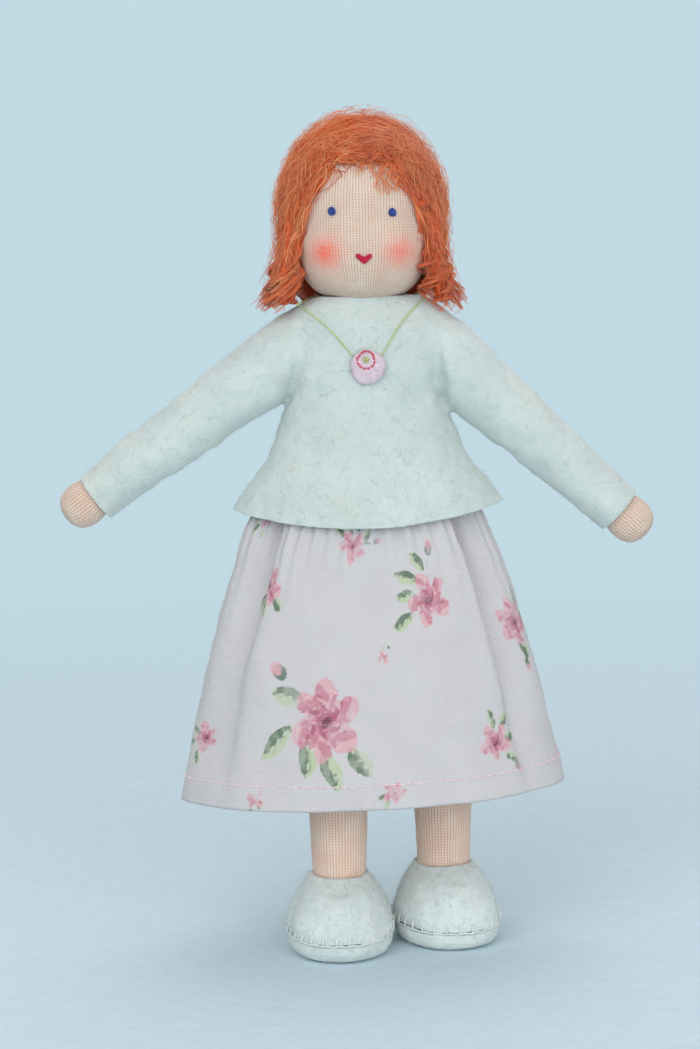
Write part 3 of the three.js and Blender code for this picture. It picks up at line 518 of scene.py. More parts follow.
class Tree:
    """A short way to write a node tree, for materials and for Geometry Nodes."""

    def __init__(self, tree: bpy.types.NodeTree) -> None:
        """Empties the tree and keeps it to write in."""
        self.tree = tree
        tree.nodes.clear()

    def add(self, kind: str, inputs: dict | None = None, **settings) -> bpy.types.Node:
        """Adds a node.

        Args:
            kind: the node's type name.
            inputs: values or sockets for its inputs, by name or number.
            settings: the node's own properties.
        Returns:
            The node.
        """
        node = self.tree.nodes.new(kind)
        for key, value in settings.items():
            setattr(node, key, value)
        for key, value in (inputs or {}).items():
            if isinstance(value, Socket):
                self.tree.links.new(value, node.inputs[key])
            else:
                node.inputs[key].default_value = value
        return node

    def math(self, operation: str, *values) -> Socket:
        """A Math node's result."""
        return self.add("ShaderNodeMath", dict(enumerate(values)), operation=operation).outputs[0]

    def times(self, first, second) -> Socket:
        """Multiplies two numbers."""
        return self.math("MULTIPLY", first, second)

    def plus(self, first, second) -> Socket:
        """Adds two numbers."""
        return self.math("ADD", first, second)

    def swing(self, value: Socket, amount: float) -> Socket:
        """Spreads a value round 0.5 into an amount round 0."""
        return self.times(self.math("SUBTRACT", value, 0.5), amount)

    def mix(self, factor, *colours) -> Socket:
        """Mixes two colours, each a socket or red, green and blue of 0 to 255 on screen."""
        first, second = (colour if isinstance(colour, Socket) else linear(*colour) for colour in colours)
        inputs = {"Factor": factor, 6: first, 7: second}
        return self.add("ShaderNodeMix", inputs, data_type="RGBA", clamp_factor=True).outputs[2]

    def noise(self, scale: float, detail: float = 2, distortion: float = 0, rough: float = 0.5) -> Socket:
        """A Noise Texture's value over the object's own coordinates."""
        inputs = {"Scale": scale, "Detail": detail, "Roughness": rough, "Distortion": distortion}
        return self.add("ShaderNodeTexNoise", {"Vector": self.place(), **inputs}).outputs["Fac"]

    def range(self, value, low: float, high: float, start: float = 0, end: float = 1) -> Socket:
        """A Map Range node's smooth result."""
        inputs = {"Value": value, 1: low, 2: high, 3: start, 4: end}
        return self.add("ShaderNodeMapRange", inputs, interpolation_type="SMOOTHSTEP").outputs[0]

    def tube(self, curve: Socket, radius: float | Socket, sides: int | Socket) -> bpy.types.Node:
        """Sweeps a circle along curves into closed tubes."""
        section = self.add("GeometryNodeCurvePrimitiveCircle", {"Resolution": sides, "Radius": radius})
        inputs = {"Curve": curve, "Profile Curve": section.outputs[0], "Fill Caps": True}
        return self.add("GeometryNodeCurveToMesh", inputs)

    def attribute(self, name: str) -> Socket:
        """A named attribute's number."""
        return self.add("ShaderNodeAttribute", attribute_name=name).outputs["Fac"]

    def place(self) -> Socket:
        """Object coordinates, in metres."""
        return self.add("ShaderNodeTexCoord").outputs["Object"]

    def map_uv(self) -> tuple[Socket, Socket]:
        """The piece's own map, across and along."""
        coordinates = self.add("ShaderNodeTexCoord").outputs["UV"]
        parts = self.add("ShaderNodeSeparateXYZ", {0: coordinates})
        return parts.outputs[0], parts.outputs[1]

    def surface(self, colour: Socket, height: Socket, depth: float, rough: float | Socket, **shader) -> None:
        """Ends a material in a Principled shader.

        Args:
            colour: the colour's socket.
            height: a socket that gives the relief.
            depth: what the relief's 0 to 1 is in millimetres.
            rough: the roughness.
            shader: more inputs by name, with spaces as underscores.
        """
        relief = self.add("ShaderNodeBump", {"Height": height, "Distance": depth * MM, "Strength": 1.0})
        inputs = {"Base Color": colour, "Roughness": rough, "Specular IOR Level": 0.2}
        inputs.update({key.replace("_", " "): value for key, value in shader.items()})
        bsdf = self.add("ShaderNodeBsdfPrincipled", {**inputs, "Normal": relief.outputs[0]})
        self.add("ShaderNodeOutputMaterial", {"Surface": bsdf.outputs[0]})


@dataclass(frozen=True)
class Finish:
    """A material's recipe; each kind paints its own nodes."""

    name: str

    def build(self) -> bpy.types.Material:
        """Makes the material."""
        material = bpy.data.materials.new(self.name)
        material.use_nodes = True
        self.paint(Tree(material.node_tree))
        return material

    def paint(self, t: Tree) -> None:
        """Writes the nodes into an empty tree."""
        raise NotImplementedError


@dataclass(frozen=True)
class KnitFinish(Finish):
    """Fine rib knit; the map's whole numbers count ribs across and stitches along."""

    stitch: tuple = (227, 211, 195)
    # The darker colour of the gaps between stitches: painted shade in the knit's hollows
    gap: tuple = (200, 138, 112)
    shade: tuple = (220, 196, 178)
    rouge: tuple = (250, 100, 76)
    relief: float = 0.11

    def paint(self, t: Tree) -> None:
        """Writes the ribs, their V stitches, painted shade in the gaps between them, and the rouge.

        Args:
            t: the material's empty tree.
        """
        across, length = t.map_uv()
        wobble = t.swing(t.noise(900), 0.5)
        rib = t.math("PINGPONG", t.plus(across, wobble), 0.5)
        # Each stitch is a V: its two legs lean down to the middle of the rib
        lean = t.plus(length, t.times(rib, 1.3))
        loop = t.math("PINGPONG", t.plus(lean, wobble), 0.5)
        ridge = t.range(rib, 0.0, 0.3)
        bead = t.range(loop, 0.05, 0.4)
        # Where the knit is lowest, between the ribs and between the stitches, it gets painted shade
        hollow_shade = t.times(t.math("SUBTRACT", 1.0, ridge), t.range(loop, 0.12, 0.3, 1.0, 0.3))
        height = t.times(ridge, t.plus(t.times(bead, 0.45), 0.55))
        tone = t.mix(t.range(t.noise(260, 3), 0.3, 0.75), self.shade, self.stitch)
        tone = t.mix(t.range(hollow_shade, 0.1, 0.75), tone, self.gap)
        blush = t.times(t.attribute("blush"), t.range(t.noise(1400), 0.2, 0.75, 0.6, 1.0))
        tone = t.mix(blush, tone, self.rouge)
        t.surface(tone, height, self.relief, 0.85, Sheen_Weight=0.25, Sheen_Roughness=0.5)


@dataclass(frozen=True)
class FeltFinish(Finish):
    """Soft wool felt: mottled, with fibres matted in all directions."""

    light: tuple = (202, 213, 209)
    dark: tuple = (191, 203, 200)
    warm: tuple = (201, 205, 196)
    relief: float = 0.2

    def paint(self, t: Tree) -> None:
        """Writes the mottle and the matted fibres.

        Args:
            t: the material's empty tree.
        """
        drift = t.noise(90, 3)
        fibres = t.noise(1500, 4, 1.6, 0.65)
        mat = t.noise(520, 3, 2.5)
        lumps = t.noise(190, 2)
        tone = t.mix(t.range(drift, 0.35, 0.7), self.dark, self.light)
        tone = t.mix(t.range(lumps, 0.5, 0.8, 0, 0.6), tone, self.warm)
        tone = t.mix(t.range(fibres, 0.3, 0.5, 0.25, 0), tone, self.dark)
        height = t.plus(t.times(fibres, 0.45), t.plus(t.times(mat, 0.7), lumps))
        t.surface(tone, height, self.relief, 0.95, Sheen_Weight=0.35, Sheen_Roughness=0.6)


@dataclass(frozen=True)
class MohairFinish(Finish):
    """Copper mohair; each strand carries a shade of its own."""

    deep: tuple = (186, 72, 34)
    main: tuple = (232, 115, 62)
    light: tuple = (253, 174, 118)

    def paint(self, t: Tree) -> None:
        """Writes the strands' shades.

        Args:
            t: the material's empty tree.
        """
        # Low shades carry the painted shade of the inner locks and of the mass beneath them
        level = t.plus(t.attribute("shade"), t.swing(t.noise(420, 3), 0.7))
        tone = t.mix(t.range(level, 0.0, 0.5), self.deep, self.main)
        tone = t.mix(t.range(level, 0.55, 1.05), tone, self.light)
        t.surface(tone, t.noise(3000, 2), 0.03, 0.55, Sheen_Weight=0.3, Sheen_Roughness=0.4)


@dataclass(frozen=True)
class FibreFinish(Finish):
    """Twisted thread or, with coarser numbers, the teased wool inside the limbs."""

    light: tuple
    dark: tuple
    grain: tuple = (2600, 3)
    relief: float = 0.04
    rough: float = 0.6
    sheen: float = 0.2

    def paint(self, t: Tree) -> None:
        """Writes the grain of the fibres.

        Args:
            t: the material's empty tree.
        """
        grain = t.noise(*self.grain)
        tone = t.mix(t.range(grain, 0.3, 0.7), self.dark, self.light)
        t.surface(tone, grain, self.relief, self.rough, Sheen_Weight=self.sheen)


@dataclass(frozen=True)
class WireFinish(Finish):
    """Soft steel wire with fine drawn lines."""

    metal: tuple = (196, 198, 202)
    dull: tuple = (150, 152, 156)

    def paint(self, t: Tree) -> None:
        """Writes the drawn lines.

        Args:
            t: the material's empty tree.
        """
        grain = t.noise(1800, 2)
        tone = t.mix(t.range(grain, 0.3, 0.7, 0, 0.4), self.metal, self.dull)
        t.surface(tone, grain, 0.01, t.range(grain, 0.2, 0.8, 0.3, 0.5), Metallic=1.0)


@dataclass(frozen=True)
class CottonPrintFinish(Finish):
    """Plain-weave cotton; the map is in millimetres, and the inks are distances inside each printed shape."""

    thread: float = 0.43
    ground: tuple = (206, 204, 205)
    slub: tuple = (202, 198, 201)
    # Painted shade in the gaps between the threads
    weft_gap: tuple = (188, 172, 178)
    # Each ink's attribute, colour and strength, in the order of printing
    inks: tuple = (
        ("leaf_pale", (184, 200, 158), 0.85),
        ("leaf_dark", (84, 112, 94), 0.95),
        ("petal_pale", (220, 166, 174), 0.88),
        ("petal_mid", (196, 122, 140), 0.85),
        ("glint", (232, 200, 204), 0.8),
        ("petal_deep", (168, 84, 108), 0.88),
        ("heart", (106, 50, 76), 0.95),
    )

    def paint(self, t: Tree) -> None:
        """Writes the weave, prints the inks over it, and paints shade into the gaps between the threads.

        Args:
            t: the material's empty tree.
        """
        wobble = t.swing(t.noise(700), 0.22)
        pitch = math.pi / self.thread
        warp, weft = (t.math("SINE", t.times(t.plus(way, wobble), pitch)) for way in t.map_uv())
        warp_round, weft_round = (t.math("POWER", t.math("ABSOLUTE", wave), 0.6) for wave in (warp, weft))
        over = t.range(t.times(warp, weft), -0.25, 0.25)
        height = t.plus(t.times(warp_round, over), t.times(weft_round, t.math("SUBTRACT", 1.0, over)))
        tone = t.mix(t.range(t.noise(150, 3), 0.35, 0.65, 0, 0.5), self.ground, self.slub)
        blotch = t.swing(t.noise(520, 3, 0.8), 0.95)
        wash = t.noise(330, 3, 0.7)
        for name, colour, strength in self.inks:
            inside = t.range(t.plus(t.attribute(name), blotch), -0.06, 0.2)
            cover = t.times(inside, t.range(wash, 0.36, 0.62, strength * 0.55, strength))
            tone = t.mix(cover, tone, colour)
        # Painted shade where neither thread is raised, over the print too
        tone = t.mix(t.range(t.times(warp_round, weft_round), 0.0, 0.5, 0.55, 0), tone, self.weft_gap)
        t.surface(tone, height, 0.07, 0.85, Sheen_Weight=0.1)


@dataclass(frozen=True)
class FloorFinish(Finish):
    """Pale cloth that fades into the backdrop's own colour far from the doll."""

    backdrop: tuple
    light: tuple = (206, 226, 235)
    dark: tuple = (192, 213, 223)

    def paint(self, t: Tree) -> None:
        """Writes the cloth near the doll and the plain colour that the camera sees beyond it.

        Args:
            t: the material's empty tree.
        """
        distance = t.add("ShaderNodeVectorMath", {0: t.place()}, operation="LENGTH").outputs["Value"]
        camera_ray = t.add("ShaderNodeLightPath").outputs["Is Camera Ray"]
        fleck = t.noise(300, 3)
        tone = t.mix(t.range(fleck, 0.3, 0.7, 0, 0.25), self.light, self.dark)
        grain = t.add("ShaderNodeBump", {"Height": fleck, "Distance": 0.2 * MM})
        matt = t.add("ShaderNodeBsdfDiffuse", {"Color": tone, "Normal": grain.outputs[0]})
        glow = t.add("ShaderNodeEmission", {"Color": linear(*self.backdrop), "Strength": 1.0})
        share = t.times(t.range(distance, 0.12, 0.5), camera_ray)
        both = t.add("ShaderNodeMixShader", {0: share, 1: matt.outputs[0], 2: glow.outputs[0]})
        t.add("ShaderNodeOutputMaterial", {"Surface": both.outputs[0]})


class Finishes:
    """The doll's materials, one of each."""

    def __init__(self) -> None:
        """Builds them all."""
        self.knit = KnitFinish("Peach_knit").build()
        # A lighter copy of the peach knit: painted light that makes up for the shade that the skirt casts on the
        # legs
        self.leg_knit = KnitFinish("Leg_knit", (244, 224, 207), (216, 146, 118), (238, 208, 188)).build()
        self.felt = FeltFinish("White_felt").build()
        # A lighter copy of the white felt: painted light that makes up for the slippers getting less light than
        # the chest
        self.shoe_felt = FeltFinish("Slipper_felt", (219, 229, 227), (207, 218, 216), (217, 221, 214)).build()
        self.pink_felt = FeltFinish("Pink_felt", (219, 204, 212), (209, 187, 201), (222, 206, 210)).build()
        self.mohair = MohairFinish("Copper_mohair").build()
        self.wool = FibreFinish(
            "Teased_wool", (236, 229, 214), (206, 196, 178), (900, 5, 3.0, 0.7), 0.5, 0.95, 0.3
        ).build()
        self.wire = WireFinish("Armature_wire").build()
        self.cotton = CottonPrintFinish("Flowered_cotton").build()
        self.white_thread = FibreFinish("White_thread", (236, 240, 238), (214, 220, 218)).build()
        self.hem_thread = FibreFinish("Pink_thread", (238, 218, 220), (222, 184, 190)).build()
        self.blue_thread = FibreFinish("Blue_thread", (52, 78, 156), (30, 44, 108)).build()
        self.crimson_thread = FibreFinish("Crimson_thread", (208, 32, 66), (162, 20, 50)).build()
        self.red_thread = FibreFinish("Red_thread", (222, 80, 100), (188, 44, 70)).build()
        self.green_thread = FibreFinish("Green_thread", (200, 212, 142), (176, 194, 112)).build()
        self.olive_thread = FibreFinish("Olive_thread", (188, 194, 138), (150, 158, 104)).build()


def dressed(piece: Piece, material: bpy.types.Material) -> Piece:
    """Gives a piece one material all over."""
    piece.data.materials.clear()
    piece.data.materials.append(material)
    return piece


def settled(piece: Piece, body: str | tuple, slot: str, *nodes: str,
            span: Sequence[Grid] | None = None) -> None:
    """Hands a finished piece to the frame and reports it.

    Args:
        piece: the finished piece.
        body: the body it rides, or two bodies that it lies between, in which case it stays in place unparented.
        slot: the record's material slot; not used.
        nodes: the frame nodes that it stands for.
        span: where a piece between two bodies leaves the first body and reaches the second; not used.
    """
    if isinstance(body, str):
        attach(piece, body)
    else:
        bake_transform(piece)
    if nodes:
        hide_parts(*nodes)
    log.info("%s: %d faces on %s", piece.name, len(piece.data.polygons), body)


def geometry_tree(name: str, **inputs: str) -> tuple[bpy.types.NodeTree, Tree, bpy.types.bpy_prop_collection]:
    """Starts a Geometry Nodes tree.

    Args:
        name: the tree's name.
        inputs: names and socket types of its inputs after the geometry.
    Returns:
        The tree, its writer and the sockets of its inputs.
    """
    group = bpy.data.node_groups.new(name, "GeometryNodeTree")
    for label, kind in {"Geometry": "Geometry", **inputs}.items():
        group.interface.new_socket(label, in_out="INPUT", socket_type=f"NodeSocket{kind}")
    group.interface.new_socket("Geometry", in_out="OUTPUT", socket_type="NodeSocketGeometry")
    writer = Tree(group)
    return group, writer, writer.add("NodeGroupInput").outputs


def grown(piece: Piece, group: bpy.types.NodeTree, **values) -> Piece:
    """Runs a Geometry Nodes tree on a piece and keeps the result as its mesh.

    Args:
        piece: the piece to work on.
        group: the tree.
        values: the tree's inputs.
    Returns:
        The same piece.
    """
    modifier = piece.modifiers.new(group.name, "NODES")
    modifier.node_group = group
    for item in group.interface.items_tree:
        if item.in_out == "INPUT" and item.name in values:
            modifier[item.identifier] = values[item.name]
    return baked(piece)


def strand_tree() -> bpy.types.NodeTree:
    """Turns loose edges into thin tubes.

    Returns:
        The tree; each point's "thick" attribute is its radius in metres.
    """
    group, t, given = geometry_tree("Strands", Sides="Int", Material="Material")
    curves = t.add("GeometryNodeMeshToCurve", {"Mesh": given["Geometry"]}).outputs[0]
    named = t.add("GeometryNodeInputNamedAttribute", {"Name": "thick"}, data_type="FLOAT")
    thick = named.outputs["Attribute"]
    rounded = t.add("GeometryNodeSetCurveRadius", {"Curve": curves, "Radius": thick}).outputs[0]
    tube = t.tube(rounded, 1.0, given["Sides"])
    if "Scale" in tube.inputs:
        t.tree.links.new(thick, tube.inputs["Scale"])
    smooth = t.add("GeometryNodeSetShadeSmooth", {0: tube.outputs[0]}).outputs[0]
    real = t.add("GeometryNodeRealizeInstances", {0: smooth}).outputs[0]
    coloured = t.add("GeometryNodeSetMaterial", {"Geometry": real, "Material": given["Material"]})
    t.add("NodeGroupOutput", {0: coloured.outputs[0]})
    return group


def nap_tree() -> bpy.types.NodeTree:
    """Scatters short curved fibres over a piece's first material and keeps the piece.

    Returns:
        The tree; its lengths are in metres and its density is for a square metre.
    """
    sizes = {"Density": "Float", "Length": "Float", "Thickness": "Float"}
    group, t, given = geometry_tree("Felt_nap", **sizes, Seed="Int", Material="Material")
    number = t.add("GeometryNodeInputMaterialIndex").outputs[0]
    outer = t.add("FunctionNodeCompare", {2: number, 3: 0}, data_type="INT", operation="EQUAL").outputs[0]
    chosen = {"Mesh": given["Geometry"], "Selection": outer}
    drawn = {"Density": given["Density"], "Seed": given["Seed"]}
    scatter = t.add("GeometryNodeDistributePointsOnFaces", {**chosen, **drawn})
    ends = {"Start": (0, 0, -0.06), "End": (1.0, 0.1, 0.03)}
    handles = {"Start Handle": (0.1, 0.1, 0.2), "End Handle": (0.6, 0.45, 0.22)}
    arch = t.add("GeometryNodeCurvePrimitiveBezierSegment", {"Resolution": 3, **ends, **handles}).outputs[0]
    size = t.add("ShaderNodeCombineXYZ", {axis: given["Length"] for axis in range(3)}).outputs[0]
    scaled = t.add("GeometryNodeTransform", {0: arch, "Scale": size}).outputs[0]
    fibre = t.tube(scaled, given["Thickness"], 3).outputs[0]

    def drawn_between(low: tuple, high: tuple) -> Socket:
        """A vector drawn for each fibre."""
        limits = {"Min": low, "Max": high}
        return t.add("FunctionNodeRandomValue", limits, data_type="FLOAT_VECTOR").outputs[0]

    spin = drawn_between((-0.5, -0.8, 0.0), (0.5, 0.25, TAU))
    turns = {0: scatter.outputs["Rotation"], 1: spin}
    turn = t.add("FunctionNodeRotateRotation", turns, rotation_space="LOCAL").outputs[0]
    grow = drawn_between((0.4, 0.4, 0.3), (1.5, 1.5, 1.2))
    inputs = {"Points": scatter.outputs[0], "Instance": fibre, "Rotation": turn, "Scale": grow}
    fibres = t.add("GeometryNodeInstanceOnPoints", inputs).outputs[0]
    real = t.add("GeometryNodeRealizeInstances", {0: fibres}).outputs[0]
    smooth = t.add("GeometryNodeSetShadeSmooth", {0: real}).outputs[0]
    coloured = t.add("GeometryNodeSetMaterial", {"Geometry": smooth, "Material": given["Material"]})
    both = t.add("GeometryNodeJoinGeometry")
    for part in (coloured.outputs[0], given["Geometry"]):
        t.tree.links.new(part, both.inputs[0])
    t.add("NodeGroupOutput", {0: both.outputs[0]})
    return group


@dataclass
class Workshop:
    """What every sub-assembly works with: the finishes and the Geometry Nodes trees."""

    finishes: Finishes
    strands: bpy.types.NodeTree
    nap: bpy.types.NodeTree

    def tubes(self, name: str, paths: Sequence[Grid], radii: float | Sequence, material: bpy.types.Material,
              sides: int = 6, shades: Sequence[float] | None = None) -> Piece:
        """Makes thin tubes along many paths.

        Args:
            name: the piece's name.
            paths: the points of each path.
            radii: one radius for all, or for each path one radius or one for each point.
            material: the tubes' material.
            sides: facets round each tube.
            shades: a shade for each path, written to the "shade" attribute.
        Returns:
            The piece.
        """
        counts = [len(path) for path in paths]
        starts = np.cumsum([0] + counts)
        pairs = [np.stack([np.arange(a, b - 1), np.arange(a + 1, b)], 1) for a, b in zip(starts, starts[1:])]
        mesh = bpy.data.meshes.new(name)
        mesh.from_pydata((np.vstack(paths) * MM).tolist(), np.concatenate(pairs).tolist(), [])
        piece = linked(name, mesh)
        each = [radii] * len(paths) if isinstance(radii, float) else radii
        thick = np.concatenate([np.broadcast_to(radius, count) for radius, count in zip(each, counts)])
        point_values(piece, "thick", thick * MM)
        if shades is not None:
            point_values(piece, "shade", np.repeat(shades, counts))
        return grown(piece, self.strands, Sides=sides, Material=material)

    def felted(self, piece: Piece, material: bpy.types.Material, density: float, length: float, seed: int,
               wall: float = 0.0, fibre: float = 0.016) -> Piece:
        """Gives a piece of felt its thickness and its nap.

        Args:
            piece: the felt's outer face, which is changed.
            material: its material.
            density, seed: fibres for each square millimetre, and what places them.
            length, fibre: length and radius of a fibre.
            wall: the felt's thickness, or 0 if the piece is closed.
        Returns:
            The same piece.
        """
        dressed(piece, material)
        if wall:
            piece.data.materials.append(material)
            shell = piece.modifiers.new("Wall", "SOLIDIFY")
            shell.thickness = wall * MM
            shell.offset = -1
            shell.use_quality_normals = True
            shell.material_offset = 1
            shell.material_offset_rim = 1
            baked(piece)
        sizes = {"Density": density / MM**2, "Length": length * MM, "Thickness": fibre * MM}
        grown(piece, self.nap, **sizes, Seed=seed, Material=material)
        piece.data.polygons.foreach_set("material_index", np.zeros(len(piece.data.polygons), np.int32))
        return dressed(piece, material)


@dataclass
class Head:
    """The knit-covered head with its sewn face."""

    shop: Workshop
    ribs: int = 132
    stitch_length: float = 0.46
    power: float = 2.8
    crown_power: float = 2.15
    narrowing: float = 0.97
    eye_spread: float = 5.2
    eye_rise: float = 0.35
    eye_tilt: float = 0.2
    eye_radius: float = 0.82
    mouth_drop: float = 7.4
    mouth_shift: float = 0.2
    cheek_spread: float = 6.6
    cheek_drop: float = 6.6
    cheek_radius: float = 2.9
    chin_drop: float = 1.7
    # Each stitch of the mouth: its place across, its top and its bottom
    mouth_stitches: ClassVar[tuple] = (
        (-1.3, 0.45, 0.1), (-0.95, 0.55, -0.22), (-0.6, 0.38, -0.6), (-0.25, 0.12, -0.92),
        (0.1, 0.06, -0.98), (0.45, 0.26, -0.74), (0.8, 0.45, -0.38), (1.15, 0.42, 0.0),
    )

    def __post_init__(self) -> None:
        """Reads the head's place and size from the frame."""
        self.middle, half = place_mm("head_skin")
        self.half = half * np.array([self.narrowing, 1, 1])

    def skin(self, directions: Grid) -> Grid:
        """Finds where rays from the head's middle leave it.

        Args:
            directions: the rays.
        Returns:
            The points, as offsets from the middle.
        """
        lower = self.half + np.array([0, 0, self.chin_drop])
        scaled = np.abs(directions) / np.where(directions[..., 2:] < 0, lower, self.half)
        flat = np.sqrt(scaled[..., 0] ** 2 + scaled[..., 1] ** 2)
        power = np.where(directions[..., 2] < 0, self.power, self.crown_power)
        reach = (flat**power + scaled[..., 2] ** power) ** (-1 / power)
        return directions * reach[..., None]

    def from_cheek(self, points: Grid, side: Side) -> tuple[Grid, Grid]:
        """Offsets of points across and up from the middle of a cheek."""
        return points[..., 0] - side.value * self.cheek_spread, points[..., 2] + self.cheek_drop

    def relief(self, points: Grid) -> Grid:
        """How far the face stands out: cheeks forward, the eye line drawn in, and slight unevenness.

        Args:
            points: places as offsets from the head's middle.
        Returns:
            The relief at each place.
        """
        face = eased(-points[..., 1], 2, 9)
        eye_line = -0.35 * bump(points[..., 2] - self.eye_rise, 3.2) * face
        cheeks = np.zeros(points.shape[:-1])
        for side in Side:
            across, up = self.from_cheek(points, side)
            cheeks += 0.35 * np.exp(-(across**2 + up**2) / 18) * face
        return eye_line + cheeks + 0.08 * ripple(points, 7, 3)

    def on_face(self, x: float, rise: float, lift: float = 0.0) -> Grid:
        """Finds a point of the face.

        Args:
            x, rise: how far across and up it lies from the head's middle.
            lift: how far in front of the skin.
        Returns:
            The point.
        """
        y = -np.linspace(0, self.half[1] * 1.1, 400)
        line = np.stack([np.full_like(y, x), y, np.full_like(y, rise)], 1)
        reach = np.linalg.norm(line, axis=1)
        surface = self.skin(line / reach[:, None])
        spot = line[np.argmin(np.abs(reach - np.linalg.norm(surface, axis=1)))]
        return self.middle + spot + np.array([0, -self.relief(spot[None])[0] - lift, 0])

    def build(self) -> None:
        """Makes the skin, the eyes and the mouth."""
        rows, sides, pole = 110, 176, 0.03
        polar = np.linspace(pole, math.pi - pole, rows)[::-1, None]
        angle = angles_round(sides)[None, :]
        way = np.stack(
            [np.sin(polar) * np.cos(angle), np.sin(polar) * np.sin(angle), np.cos(polar) + 0 * angle], -1
        )
        local = self.skin(way)
        local = local + way * self.relief(local)[..., None]
        skin = wrapped("head_knit", local + self.middle, self.ribs, 1 / self.stitch_length)
        offset = vertices_of(skin) - self.middle
        blush = np.zeros(len(offset))
        for side, strength in ((Side.RIGHT, 0.95), (Side.LEFT, 0.7)):
            across, up = self.from_cheek(offset, side)
            reach = np.sqrt((across / 1.05) ** 2 + up**2) / self.cheek_radius
            blush += strength * np.exp(-(reach**2) * 1.3) * (offset[:, 1] < 0)
        point_values(skin, "blush", np.clip(blush, 0, 1))
        dressed(skin, self.shop.finishes.knit)
        settled(skin, "head", "knit_skin", "head_skin")
        for side in Side:
            self.eye(side)
        self.mouth()

    def eye(self, side: Side) -> None:
        """Winds a knot of blue thread flat on the knit, with a short bar over it.

        Args:
            side: which eye.
        """
        spot = self.on_face(side.value * self.eye_spread, self.eye_rise - side.value * self.eye_tilt, 0.12)
        out = spot - self.middle
        out = unit(np.array([out[0] * 0.55, out[1], 0]))
        across = np.cross(out, UP)
        turns = np.linspace(0, 3.3 * TAU, 90)
        reach = np.interp(turns, [0, turns[-1]], [0.12, self.eye_radius - 0.2])
        coil = spot + np.outer(reach * np.cos(turns), across) + np.outer(reach * np.sin(turns), UP)
        coil += np.outer(0.26 * np.cos(reach / self.eye_radius * 1.5), out)
        share = np.linspace(-0.5, 0.5, 14)
        bar = spot + np.outer(share * 1.1, across) + np.outer(share * 0.7, UP)
        bar += np.outer(0.34 + 0.15 * np.cos(share * 3), out)
        thread = self.shop.finishes.blue_thread
        knot = self.shop.tubes(side.of("eye_knot"), [coil, bar], [0.2, 0.17], thread, 8)
        settled(knot, "head", "blue_thread", side.of("eye"))

    def mouth(self) -> None:
        """Sews the mouth in satin stitches, short at its ends and long in the middle."""
        lifts = 0.1 + 0.16 * np.sin(np.linspace(0, math.pi, 9))
        paths = []
        for x, high, low in self.mouth_stitches:
            rises = np.linspace(high, low - 0.12, len(lifts)) - self.mouth_drop
            paths.append(np.array([self.on_face(x + self.mouth_shift, r, h) for r, h in zip(rises, lifts)]))
        mouth = self.shop.tubes("mouth_stitches", paths, 0.2, self.shop.finishes.crimson_thread, 8)
        settled(mouth, "head", "crimson_thread", "mouth")


@dataclass
class Strands:
    """Hairs gathered for one piece: their paths, radii and shades."""

    paths: list = field(default_factory=list)
    radii: list = field(default_factory=list)
    shades: list = field(default_factory=list)

    def add(self, path: Grid, radius: float | Grid, shade: float) -> None:
        """Adds one hair."""
        self.paths.append(path)
        self.radii.append(radius)
        self.shades.append(float(shade))


